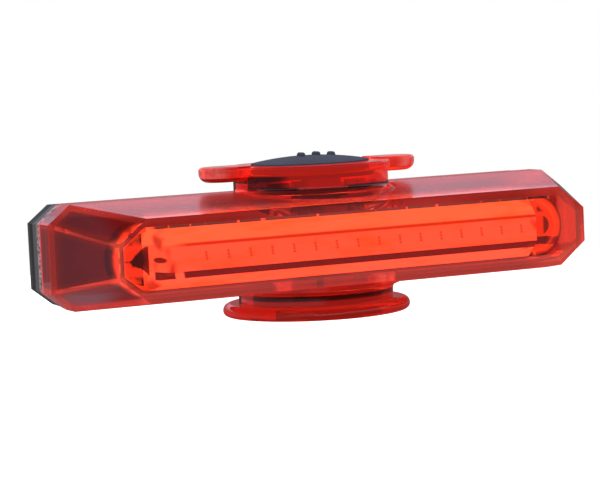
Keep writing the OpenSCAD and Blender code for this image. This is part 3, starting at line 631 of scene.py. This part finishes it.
def lens_glow(n, zone, look, edge):
    """Light that leaves each zone of the lens, with its edges and its rim painted last."""
    long_wall = n.mix(zone.below, look.wall_glow, GLOW["floor"])
    left_end = n.mix(n.rise(zone.z, -4.5, -6.0), GLOW["left"], GLOW["left_low"])
    end_wall = n.mix(n.rise(zone.x, -42, -45), GLOW["end"], left_end)
    neck = n.mix(n.rise(zone.x, -9.6, -8.8), GLOW["neck_left"], GLOW["neck"])
    bright = n.paint(n.mix(zone.below, GLOW["edge"], GLOW["edge_low"]), (zone.left, GLOW["edge_left"]))
    return n.paint(
        n.mix(n.times(zone.above, zone.beside), end_wall, long_wall),
        (zone.inside, look.inner_glow),
        (zone.hub, n.mix(zone.ends, neck, n.mix(zone.dish, look.hub_glow, GLOW["dish"]))),
        # painted highlights near the ears' ends
        (zone.tips, GLOW["tips"]),
        # painted shade: almost no light leaves the lower neck and the slots
        (n.most(zone.low_neck, zone.slots), GLOW["dark"]),
        (zone.well, GLOW["well"]),
        (zone.seat, n.mix(n.rise(zone.x, 38, 44), GLOW["seat"], GLOW["seat_right"])),
        (zone.strip, GLOW["strip"]),
        (zone.sill, GLOW["sill"]),
        (zone.right, n.mix(n.rise(zone.z, -3.5, -5.5), GLOW["right"], GLOW["right_low"])),
        (zone.pane, GLOW["pane"]),
        (edge, n.mix(zone.ahead, look.edge_glow, bright)),
        (zone.rim, look.rim_glow))


class REARLIGHT_OT_lens(bpy.types.Operator):
    """Red transparent plastic with glowing edges, for the lens housing"""

    bl_idname = "rear_light.lens"
    bl_label = "Red Lens"

    def execute(self, context):
        look = context.scene.rear_light_lens
        material, n, shader, output, place = new_finish("Red lens")
        marks = n.group("scuffs", {"Place": place, "Amount": 0.6})
        edges = n.group("facets", {"Place": place, "Width": look.edge_width})
        zone = lens_zones(n, place)
        shine_out(n, shader, lens_glow(n, zone, look, edges["Edge"]), 1.0)
        shine = n.plus(0.015, n.times(zone.facet, look.facet_rough))
        shine = n.plus(shine, n.times(zone.near, look.hub_rough - look.facet_rough))
        shine = n.plus(shine, n.times(marks["Streaks"], 0.08))
        surface(n, shader, lens_plastic(n, zone, place, look.tint), shine,
                n.noise(place, 140.0, 1.0, 0.4), 0.08, 0.3 * MM)
        shader.inputs["IOR"].default_value = look.index
        shader.inputs["Transmission Weight"].default_value = 1.0
        let_by = n.add("ShaderNodeBsdfTransparent", {"Color": opaque(look.tint)})
        path = n.add("ShaderNodeLightPath")
        shown = n.add("ShaderNodeMixShader",
                      {0: path.outputs["Is Shadow Ray"], 1: shader.outputs[0], 2: let_by.outputs[0]})
        n.feed(output.inputs[0], shown.outputs[0])
        dress(material, "lens_housing")
        return {"FINISHED"}


def leaning(n, at):
    """The x of a place, less a share of its depth behind the bar's front, so that marks at several depths
    line up for an eye 25 degrees to the left."""
    return n.less(at["X"], n.times(n.less(at["Y"], BAR_LOW.y + 1.4 * MM), SLANT))


def painted_pit_image(n, at):
    """The painted image of the screw pit at the optic's left end, as the lens refracts it: a dark wedge
    that opens to the right from its tip, with uneven sides, and ends in a straight edge."""
    across = leaning(n, at)
    half = n.times(n.less(across, WEDGE_TIP), WEDGE_OPEN)
    flat = n.add("ShaderNodeCombineXYZ", {0: across, 2: at["Z"]}).outputs[0]
    sway = n.times(n.less(n.noise(flat, 420.0, 1.0), 0.5), 2.4 * MM)
    side = n.less(n.plus(n.off(at["Z"], OPTIC.z - WEDGE_DROP), sway), half)
    return n.times(n.rise(side, 0.2, -0.2), n.rise(across, 0.12, -0.12, WEDGE_END))


def led_marks(n, x, z, look):
    """One mark for each LED in the middle of the front face: a stroke that leans a little."""
    along = n.less(x, n.times(z, -0.12))
    turn = n.math("DIVIDE", n.less(along, look.led_start), look.led_pitch)
    stroke = n.step(n.off(turn, n.math("ROUND", turn)), 0.075, 0.040)
    dots = n.step(n.math("SINE", n.times(z, 2 * math.pi / (0.55 * MM))), -2.2, 0.2)
    return n.times(stroke, n.rise(z, -0.80, -0.50), n.rise(z, 1.10, 0.80),
                   n.rise(x, -2.0, -1.5, look.led_start), dots, 0.85)


def bar_finish(look):
    """Glow of the light bar: three bands over its height z, a thin line above the front face, a wide
    dark line below it, one mark for each LED along x, and painted dark refraction at its ends: dark spots
    and the screw pit's image."""
    material, n, shader, _, place = new_finish("Light bar")
    at = n.parts(place)
    x, z = at["X"], n.less(at["Z"], OPTIC.z)
    across = leaning(n, at)
    cloud = n.noise(n.stretch(place, (0.35, 1.0, 1.0)), 330.0, 3.0, 0.6)
    band = n.mix(n.rise(z, -2.35, -2.25), look.lower, look.middle)
    band = n.mix(n.rise(z, 2.25, 2.35), band, look.upper)
    band = n.mix(n.step(cloud, 0.45, 0.75), band, (1.0, 0.78, 0.42), "MULTIPLY")
    thin = n.times(n.rise(z, 1.85, 2.05), n.rise(z, 2.55, 2.35), n.rise(x, -34.5, -31.0))
    gap = n.times(n.rise(across, -33.5, -33.2), n.rise(across, -31.6, -32.0))
    wide = n.times(n.rise(z, *LINE_LOW), n.rise(z, *LINE_HIGH), n.less(n.rise(across, -37.4, -36.9), gap))
    # painted refraction: dark spots at both ends of the bar
    blots = n.times(n.rise(n.size(x), 33.2, 34.4), n.step(n.noise(place, 300.0, 1.0), 0.50, 0.72), 0.8)
    # a painted dark spot, the screw pit's image through a second facet
    spot_x = n.math("DIVIDE", n.plus(across, 36.0 * MM), 1.4 * MM)
    spot_z = n.math("DIVIDE", n.plus(z, 0.2 * MM), 0.5 * MM)
    spot = n.step(n.plus(n.times(spot_x, spot_x), n.times(spot_z, spot_z)), 1.2, 0.6)
    band = n.paint(
        band,
        (led_marks(n, x, z, look), (0.17, 0.25, 0.155)),
        (thin, (0.31, 0.17, 0.04)),
        (wide, (0.045, 0.045, 0.10)),
        (blots, (0.11, 0.09, 0.09)),
        (painted_pit_image(n, at), (0.02, 0.015, 0.02)),
        (spot, (0.046, 0.04, 0.046)))
    shine_out(n, shader, band, look.glow)
    surface(n, shader, n.mix(n.most(wide, thin), (0.3, 0.27, 0.25), (0.02, 0.02, 0.02)),
            n.plus(0.12, n.times(cloud, 0.12)))
    return material


def frame_finish():
    """White moulding of the optic frame, with painted light and shade: its half rims glow with painted
    light from the bar, its colour is pale where that light falls and along the bar and near black
    elsewhere, and painted swirls of light lie round the painted pit image in the left end and painted light
    with dark blots in the right one."""
    material, n, shader, _, place = new_finish("Optic frame")
    at = n.parts(place)
    dx, dz = n.less(n.size(at["X"]), BAR_HIGH.x), n.less(at["Z"], OPTIC.z)
    away = n.radius(dx, dz)
    past_bar = n.rise(dx, -0.2, 0.1)
    pit = n.times(n.rise(away, 4.45, 4.25), past_bar)
    right = n.rise(at["X"], 0.0, 1.0)
    grain = n.group("grain", {"Place": place, "Fineness": 2400.0})
    patch = n.step(n.noise(place, 300.0, 1.0), 0.50, 0.72)
    # painted light from the bar on the half rims, patchy and fading outwards
    lit = n.times(n.rise(at["Y"], -0.6, -2.4, BAR_HIGH.y), n.flip(pit), n.rise(away, 5.75, 4.7),
                  n.flip(n.times(patch, 0.7)))
    # painted shade: the white moulding is near black away from the bar, and pale along it
    lit_and_shaded_tone = n.mix(grain["Tone"], (0.030, 0.027, 0.025), (0.045, 0.040, 0.037))
    lit_and_shaded_tone = n.mix(n.rise(dx, 0.0, -1.5), lit_and_shaded_tone, (0.55, 0.50, 0.45))
    # painted swirls of light in the left pit, round the painted pit image
    swirl = n.step(n.noise(place, 420.0, 1.0), 0.42, 0.60)
    swirl = n.most(swirl, n.rise(n.size(n.plus(dz, 0.4 * MM)), 3.2, 2.4))
    open_pit = n.times(n.flip(painted_pit_image(n, at)), swirl)
    # painted light in the right pit, broken by dark blots
    blots = n.times(n.step(n.noise(place, 560.0, 1.0), 0.46, 0.58), n.rise(away, 4.3, 3.6), 0.85)
    well = n.times(n.rise(away, 4.8, 4.6), past_bar, right, n.flip(blots))
    line = n.times(n.rise(dz, *LINE_LOW), n.rise(dz, *LINE_HIGH), right)
    light = n.paint(
        n.mix(lit, BLACK, (1.0, 0.75, 0.35)),
        (n.most(well, n.times(pit, open_pit)), (0.90, 0.55, 0.30)),
        (line, (0.106, 0.106, 0.236)))
    shine_out(n, shader, light, 2.2)
    surface(n, shader, n.mix(lit, lit_and_shaded_tone, (0.75, 0.72, 0.66)), n.plus(0.25, n.times(grain["Height"], 0.15)),
            grain["Height"], 0.3, 0.05 * MM)
    return material


def screw_finish(name, colour, metal, rough, lit=False):
    """Screw metal with turned rings on the head, which is the face that looks towards -Y. If lit, the heads
    get painted light from the bar: the left head round the painted pit image, the right head on its side
    towards the bar and dimly elsewhere."""
    material, n, shader, _, place = new_finish(name)
    grain = n.group("grain", {"Place": place, "Fineness": 5200.0})
    wave = n.add("ShaderNodeTexWave", {"Vector": place, "Scale": 900.0, "Distortion": 1.5, "Detail": 2.0},
                 wave_type="RINGS", rings_direction="Y").outputs["Fac"]
    surface(n, shader, n.mix(grain["Tone"], [c * 0.7 for c in colour], colour),
            n.plus(rough, n.times(wave, 0.12)), wave, 0.25, 0.03 * MM, metal)
    if lit:
        # painted light from the bar on the screw heads
        at = n.parts(place)
        on_right = n.rise(at["X"], 0, 1)
        left = n.times(n.rise(at["X"], 1, 0), n.flip(painted_pit_image(n, at)))
        right = n.times(on_right, n.rise(at["X"], 39.7, 39.2))
        dim = n.mix(on_right, BLACK, (0.2, 0.2, 0.2))
        shine_out(n, shader, n.mix(n.most(left, right), dim, (1.0, 0.50, 0.20)), 2.0)
    return material


class REARLIGHT_OT_optic(bpy.types.Operator):
    """Light bar, its frame, the LED board and strip, and the frame's screws"""

    bl_idname = "rear_light.optic"
    bl_label = "Optic"

    def execute(self, context):
        dress(bar_finish(context.scene.rear_light_bar), "light_bar")
        dress(frame_finish(), "optic_frame")
        dress_moulded(("White board", (0.75, 0.76, 0.73), 0.4, 3000.0, 0.02, "led_board"),
                      ("LED coating", (0.90, 0.52, 0.06), 0.3, 2200.0, 0.05, "led_strip"))
        dress(screw_finish("Black screw", (0.016, 0.016, 0.018), 0.0, 0.35, True),
              "frame_screw_left", "frame_screw_right")
        return {"FINISHED"}


def bead_path(inset, count):
    """The rim's outline moved in by an inset: eight corners joined by straight runs, as evenly spaced
    points with their outward directions, which turn smoothly over the corners."""
    a, b, c, d = RIDGE
    k = 1 + inset * (math.hypot(1 / c, 1 / d) - 1 / c - 1 / d)
    a, b, c, d = a - inset, b - inset, c * k, d * k
    corners = np.array([(a - c, b), (a, b - d), (a, d - b), (a - c, -b),
                        (c - a, -b), (-a, d - b), (-a, b - d), (c - a, b)])
    loop = np.vstack([corners, corners[:1]])
    length = arc_length(loop)
    s = np.linspace(0, length[-1], count, endpoint=False)
    points = np.stack([np.interp(s, length, loop[:, i]) for i in range(2)], 1)
    along = np.roll(points, -1, 0) - np.roll(points, 1, 0)
    out = unit(np.stack([-along[:, 1], along[:, 0]], 1))
    out *= np.sign((out * points).sum(1))[:, None]
    return points, out, s


def swelling(s, seed, waves=26):
    """An uneven width along a closed loop: a sum of sines of the arc length s, of unit spread."""
    rng = np.random.default_rng(seed)
    total = np.zeros_like(s)
    for _ in range(waves):
        turns = rng.integers(9, 240)
        total += rng.normal() * np.sin(2 * np.pi * turns * s / (s[-1] + s[1]) + rng.uniform(0, 2 * np.pi))
    return np.clip(total / total.std(), -1.6, 1.6)


def bead_loop(inset, low_y, high_y, half_w, seed):
    """One loop of the bead. Round its section at angle t the surface is the path moved out by
    w(s) * cos t * q(t) and to depth d(s) * sin t * q(t), where q(t) squares the section's corners,
    and w and d swell along the arc length s."""
    points, out, s = bead_path(inset, 1400)
    t = np.linspace(0, 2 * np.pi, 12, endpoint=False)
    square = 1 / np.maximum(np.abs(np.cos(t)), np.abs(np.sin(t))) ** 0.75
    width = half_w * (1 + 0.06 * swelling(s, seed))
    depth = (high_y - low_y) / 2 * (0.97 - 0.05 * (1.6 + swelling(s, seed + 1)))
    move = np.outer(width, np.cos(t) * square)
    y = (low_y + high_y) / 2 + np.outer(depth, np.sin(t) * square)
    flat = points[:, None, :] + out[:, None, :] * move[:, :, None]
    full = np.stack([flat[..., 0], y, flat[..., 1]], -1).reshape(-1, 3)
    return full, grid_faces(len(s), len(t), True)


def bead_piece(material):
    """Uneven bead between the rim and the cover, with a thin flash over the cover's front edge."""
    seam = bead_loop(0.95 * MM, BEAD_LOW.y, BEAD_HIGH.y, 0.76 * MM, 7)
    flash = bead_loop(0.22 * MM, BEAD_HIGH.y - 0.3 * MM, BEAD_HIGH.y + 1.7 * MM, 0.11 * MM, 11)
    points, faces = joined([seam, flash])
    piece = new_piece("seam_bead_uneven", points, faces, material, BODY)
    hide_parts("seam_bead")
    return piece


def bead_finish():
    """Pale pink weld bead with dark gaps and bright grains along the joint."""
    material, n, shader, _, place = new_finish("Weld bead")
    clump = n.noise(place, 1500.0, 3.0, 0.65)
    tint = n.mix(n.step(clump, 0.38, 0.62), (0.07, 0.035, 0.04), (0.56, 0.33, 0.36))
    grain = n.step(n.noise(place, 3600.0, 1.0), 0.62, 0.74)
    surface(n, shader, n.mix(grain, tint, (0.85, 0.72, 0.74)), n.plus(0.3, n.times(clump, 0.3)),
            clump, 0.6, 0.1 * MM)
    return material


def straight_track(path, side, up):
    """A path with one side and one up direction all along it."""
    return path, np.tile(side, (len(path), 1)), np.tile(up, (len(path), 1))


def pad_tracks():
    """Straight grip ribs on the flat rubber, in rows on both sides of the cradle."""
    tracks = []
    for side in (-1, 1):
        for z in (-6.4, -5.0, -3.6, 3.6, 5.0, 6.4):
            x = np.linspace(11.0, 44.5, 60) * side * MM
            path = np.stack([x, np.full_like(x, RIM_Y + 7.3 * MM), np.full_like(x, z * MM)], 1)
            tracks.append(straight_track(path, [0.0, 0.0, 1.0], [0.0, 1.0, 0.0]))
    return tracks


class REARLIGHT_OT_back(bpy.types.Operator):
    """Rear cover, rubber pad with its grip ribs, and the bead at the joint"""

    bl_idname = "rear_light.back"
    bl_label = "Rear Cover"

    def execute(self, context):
        dress(moulded("Cover grey", (0.085, 0.095, 0.095), 0.45, 3800.0, 0.06 * MM, scuff=0.5, inside=True),
              "rear_cover")
        rubber = moulded("Pad rubber", (0.013, 0.013, 0.015), 0.6, 2600.0, 0.08 * MM, scuff=0.4, sheen=0.1)
        dress(rubber, "rear_pad")
        ridges("pad_ribs", pad_tracks(), 0.8 * MM, 0.3 * MM, rubber, BODY)
        bead = bead_finish()
        dress(bead, "seam_bead")
        bead_piece(bead)
        return {"FINISHED"}


def dome_height(radius):
    """Height of the button's dome at a distance from its axis: a sphere's cap through the button's edge,
    10.4 mm out, and its top, 1.05 mm above that edge."""
    edge, rise = 10.4 * MM, 1.05 * MM
    sphere = (edge * edge + rise * rise) / (2 * rise)
    return BUTTON_HIGH.z - sphere + np.sqrt(sphere * sphere - radius * radius)


def sign_tracks(radius, shift):
    """A generic sign on the dome: a short bar between two arcs of a ring."""
    angle = np.radians(np.linspace(-22, 22, 40))
    arc = np.stack([np.cos(angle), np.sin(angle)], 1) * radius
    bar = np.stack([np.zeros(40), np.linspace(-0.4, 0.4, 40) * radius], 1)
    tracks = []
    for flat in (-arc, bar, arc):
        flat = flat + np.array([shift, 0.0])
        away = np.linalg.norm(flat, axis=1)
        path = np.stack([HUB.x + flat[:, 0], HUB.y + flat[:, 1], dome_height(away)], 1)
        along = unit(np.gradient(path, axis=0))
        side = unit(np.cross(along, [0.0, 0.0, 1.0]))
        tracks.append((path, side, np.cross(side, along)))
    return tracks


class REARLIGHT_OT_button(bpy.types.Operator):
    """Slate rubber button with a raised generic sign"""

    bl_idname = "rear_light.button"
    bl_label = "Power Button"

    def execute(self, context):
        look = context.scene.rear_light_button
        rubber = moulded("Button rubber", tuple(look.colour), 0.62, 3000.0, 0.06 * MM, vary=0.18, scuff=0.7)
        dress(rubber, "power_button")
        ridges("power_sign", sign_tracks(look.sign_radius, look.sign_shift), look.sign_width,
               look.sign_height, rubber, "button")
        return {"FINISHED"}


class REARLIGHT_OT_switch(bpy.types.Operator):
    """Switch, plunger, bracket and the small parts on it"""

    bl_idname = "rear_light.switch"
    bl_label = "Switch"

    def execute(self, context):
        dress_moulded(
            ("Switch red", (0.50, 0.05, 0.04), 0.4, 3000.0, 0.02, "switch_body"),
            ("Black moulding", (0.014, 0.014, 0.016), 0.45, 3400.0, 0.03,
             "switch_plunger", "switch_bracket", "light_sensor"),
            ("Pale moulding", (0.80, 0.78, 0.72), 0.35, 3000.0, 0.02,
             "bracket_peg", "charge_led", "battery_led", "battery_socket"))
        return {"FINISHED"}


def board_finish():
    """Green solder mask with copper tracks under it and pale pads: bricks for the tracks, a cell
    pattern for the pads."""
    material, n, shader, _, place = new_finish("Green board")
    turned = n.stretch(place, (1.0, 1.0, 1.0), (math.radians(90), 0, 0))
    brick = n.add("ShaderNodeTexBrick",
                  {"Vector": turned, "Scale": 260.0, "Mortar Size": 0.06}).outputs["Fac"]
    cell = n.add("ShaderNodeTexVoronoi", {"Vector": place, "Scale": 420.0}).outputs["Distance"]
    pad = n.step(cell, 0.16, 0.12)
    mask = n.mix(brick, (0.008, 0.075, 0.025), (0.02, 0.13, 0.05))
    surface(n, shader, n.mix(pad, mask, (0.55, 0.52, 0.45)), n.less(0.38, n.times(pad, 0.12)),
            brick, 0.3, 0.03 * MM)
    return material


def foil_finish():
    """Foil of the battery pouch: grey metal with soft creases."""
    material, n, shader, _, place = new_finish("Cell foil")
    crease = n.noise(place, 170.0, 4.0, 0.6)
    surface(n, shader, n.mix(crease, (0.36, 0.38, 0.42), (0.46, 0.48, 0.52)),
            n.plus(0.28, n.times(crease, 0.2)), crease, 0.4, 0.3 * MM, 0.8)
    return material


class REARLIGHT_OT_boards(bpy.types.Operator):
    """Main board with its parts, the battery, its foam and all leads"""

    bl_idname = "rear_light.boards"
    bl_label = "Electronics"

    def execute(self, context):
        dress(board_finish(), "main_board")
        dress(foil_finish(), "battery")
        dress(screw_finish("Steel screw", (0.55, 0.55, 0.57), 1.0, 0.3),
              "board_screw_left", "board_screw_right")
        dress_moulded(
            ("Chip black", (0.012, 0.012, 0.014), 0.5, 3600.0, 0.02, "charge_ic", "driver_ic"),
            ("Ferrite grey", (0.06, 0.06, 0.065), 0.55, 2600.0, 0.05, "inductor"),
            ("Ceramic tan", (0.35, 0.20, 0.09), 0.4, 2600.0, 0.02, "capacitor_left", "capacitor_right"),
            ("Foam grey", (0.04, 0.04, 0.04), 0.9, 1500.0, 0.2, "battery_foam"),
            ("Red lead", (0.45, 0.012, 0.01), 0.4, 2600.0, 0.02, "battery_lead_red", "led_lead_red"),
            ("Black lead", (0.013, 0.013, 0.013), 0.4, 2600.0, 0.02,
             "battery_lead_black", "led_lead_black"))
        return {"FINISHED"}


def grip_tracks():
    """Three short ribs across the free end of the port cover, on its lower face."""
    tracks = []
    middle = (FLAP_LOW.y + FLAP_HIGH.y) / 2
    for back, half in ((1.6, 1.5), (2.6, 2.0), (3.6, 2.3)):
        y = middle + np.linspace(-half, half, 40) * MM
        path = np.stack([np.full_like(y, FLAP_HIGH.x - back * MM), y, np.full_like(y, FLAP_LOW.z)], 1)
        tracks.append(straight_track(path, [1.0, 0.0, 0.0], [0.0, 0.0, -1.0]))
    return tracks


class REARLIGHT_OT_port(bpy.types.Operator):
    """Charging socket, its rubber cover with grip ribs, and the cover's anchor"""

    bl_idname = "rear_light.port"
    bl_label = "Charging Port"

    def execute(self, context):
        dress(moulded("Socket steel", (0.60, 0.61, 0.63), 0.3, 4000.0, 0.01 * MM, metal=1.0), "usb_shell")
        dress_moulded(("Contact black", (0.014, 0.014, 0.015), 0.4, 3000.0, 0.02, "usb_tongue"))
        rubber = moulded("Port rubber", (0.015, 0.015, 0.017), 0.6, 2600.0, 0.06 * MM, scuff=0.4, sheen=0.1)
        dress(rubber, "port_cover", "port_anchor")
        ridges("flap_grip", grip_tracks(), 0.5 * MM, 0.25 * MM, rubber, "flap")
        return {"FINISHED"}


def floor_finish():
    """Pale floor, white to the camera and to glass, red and grey to mirrors, and clear from below."""
    material, n, shader, output, place = new_finish("Pale floor")
    path = n.add("ShaderNodeLightPath").outputs
    pale = n.mix(n.noise(place, 6.0), (0.58, 0.58, 0.58), (0.62, 0.62, 0.62))
    side = n.step(n.parts(place)["X"], -0.02, -0.07)
    mirrored = n.mix(side, (0.22, 0.05, 0.045), (0.34, 0.28, 0.30))
    surface(n, shader, n.mix(path["Is Glossy Ray"], pale, mirrored), 0.9)
    seen = n.times(n.most(path["Is Camera Ray"], path["Is Transmission Ray"]), 0.88)
    lift = n.add("ShaderNodeEmission", {"Strength": seen})
    both = n.add("ShaderNodeAddShader", {0: shader.outputs[0], 1: lift.outputs[0]})
    under = n.add("ShaderNodeNewGeometry").outputs["Backfacing"]
    clear = n.add("ShaderNodeBsdfTransparent")
    shown = n.add("ShaderNodeMixShader", {0: under, 1: both.outputs[0], 2: clear.outputs[0]})
    n.feed(output.inputs[0], shown.outputs[0])
    return material


def floor_piece(height):
    """A flat round floor: rings of points at radius r and angle t, at one height."""
    r, t = np.linspace(0.002, 0.30, 12), np.linspace(0, 2 * np.pi, 48, endpoint=False)
    points = np.stack([np.outer(r, np.cos(t)).ravel(), np.outer(r, np.sin(t)).ravel() + RIM_Y,
                       np.full(r.size * t.size, height)], 1)
    rings = grid_faces(r.size, t.size, False)
    faces = [face[::-1] for face in rings] + [list(range(t.size))]
    floor = new_mesh("floor", points, faces, floor_finish())


def set_world(sky, ahead):
    """White behind the object to the camera, to mirrors and to glass, with a darker room around it for
    mirrors, and an even dome of light to the rest."""
    world = bpy.data.worlds.new("Studio")
    bpy.context.scene.world = world
    world.use_nodes = True
    world.node_tree.nodes.clear()
    n = Nodes(world.node_tree)
    path = n.add("ShaderNodeLightPath").outputs
    seen = n.most(path["Is Camera Ray"], path["Is Transmission Ray"])
    place = n.add("ShaderNodeTexCoord").outputs["Generated"]
    height = n.parts(place)["Z"]
    behind = n.step(n.dot(place, tuple(ahead)), math.cos(math.radians(8)), math.cos(math.radians(5.5)))
    room = n.paint(
        (0.14, 0.14, 0.15),
        (n.step(height, 0.10, 0.30), (0.80, 0.78, 1.0)),
        (n.step(height, 0.34, 0.46), (0.05, 0.05, 0.06)),
        (behind, (1, 1, 1)))
    light = n.mix(path["Is Glossy Ray"], (sky, sky, sky * 1.02), room)
    around = n.add("ShaderNodeBackground", {"Color": n.mix(seen, light, (1, 1, 1)), "Strength": 1.0})
    n.add("ShaderNodeOutputWorld", {0: around.outputs[0]})


def lamp(name, place, size, power):
    """A square soft lamp that looks at the light's middle."""
    data = bpy.data.lights.new(name, "AREA")
    data.size, data.energy = size, power
    thing = in_scene(name, data)
    thing.location = place
    aim = Vector((0, RIM_Y, 0)) - Vector(place)
    thing.rotation_mode = "QUATERNION"
    thing.rotation_quaternion = aim.to_track_quat("-Z", "Y")
    thing.visible_glossy = False


def set_camera(look, back):
    """A camera on the line back from the rim's middle, turned by its yaw and its roll."""
    right = Vector((math.cos(look.yaw), -math.sin(look.yaw), 0))
    up = back.cross(right)
    c, s = math.cos(look.roll), math.sin(look.roll)
    turned = Matrix((c * right - s * up, s * right + c * up, back)).transposed()
    data = bpy.data.cameras.new("photo_view")
    camera = in_scene("photo_view", data)
    place = Vector((0, RIM_Y, 0)) + back * look.distance
    camera.matrix_world = Matrix.Translation(place) @ turned.to_4x4()
    data.lens, data.sensor_width = look.focal, 36.0
    data.shift_x, data.shift_y = look.shift
    data.clip_start, data.clip_end = 0.01, 20.0
    bpy.context.scene.camera = camera


class REARLIGHT_OT_stage(bpy.types.Operator):
    """Floor, surrounding white, lamps and camera"""

    bl_idname = "rear_light.stage"
    bl_label = "Stage"

    def execute(self, context):
        look = context.scene.rear_light_stage
        floor_piece(look.floor_z)
        lamp("key", (-0.45, -0.35, 0.60), 0.35, 3.2)
        lamp("fill", (0.60, -0.45, 0.35), 0.5, 1.6)
        lamp("back", (0.10, 0.60, 0.50), 0.5, 1.6)
        back = Vector((-math.sin(look.yaw) * math.cos(look.pitch),
                       -math.cos(look.yaw) * math.cos(look.pitch), math.sin(look.pitch)))
        set_world(look.sky, -back)
        set_camera(look, back)
        context.scene.view_settings.view_transform = "Standard"
        return {"FINISHED"}


STEPS = (REARLIGHT_OT_lens, REARLIGHT_OT_optic, REARLIGHT_OT_back, REARLIGHT_OT_button,
         REARLIGHT_OT_switch, REARLIGHT_OT_boards, REARLIGHT_OT_port, REARLIGHT_OT_stage)


class REARLIGHT_PT_steps(bpy.types.Panel):
    """Lists the pieces and the stage"""

    bl_idname = "REARLIGHT_PT_steps"
    bl_label = "Rear Light"
    bl_space_type = "VIEW_3D"
    bl_region_type = "UI"
    bl_category = "Rear Light"

    def draw(self, context):
        for step in STEPS:
            self.layout.operator(step.bl_idname)


GROUPS = {"rear_light_lens": LensProps, "rear_light_bar": BarProps,
          "rear_light_button": ButtonProps, "rear_light_stage": StageProps}


def register():
    """Registers the property groups, the operators and the panel."""
    for name, group in GROUPS.items():
        bpy.utils.register_class(group)
        setattr(bpy.types.Scene, name, bpy.props.PointerProperty(type=group))
    for step in STEPS + (REARLIGHT_PT_steps,):
        bpy.utils.register_class(step)


def unregister():
    """Takes them away again."""
    for step in (REARLIGHT_PT_steps,) + STEPS[::-1]:
        bpy.utils.unregister_class(step)
    for name, group in GROUPS.items():
        delattr(bpy.types.Scene, name)
        bpy.utils.unregister_class(group)


def main():
    """Registers the steps and builds every piece in order."""
    register()
    for step in STEPS:
        area, name = step.bl_idname.split(".")
        getattr(getattr(bpy.ops, area), name)()


if __name__ == "__main__":
    main()
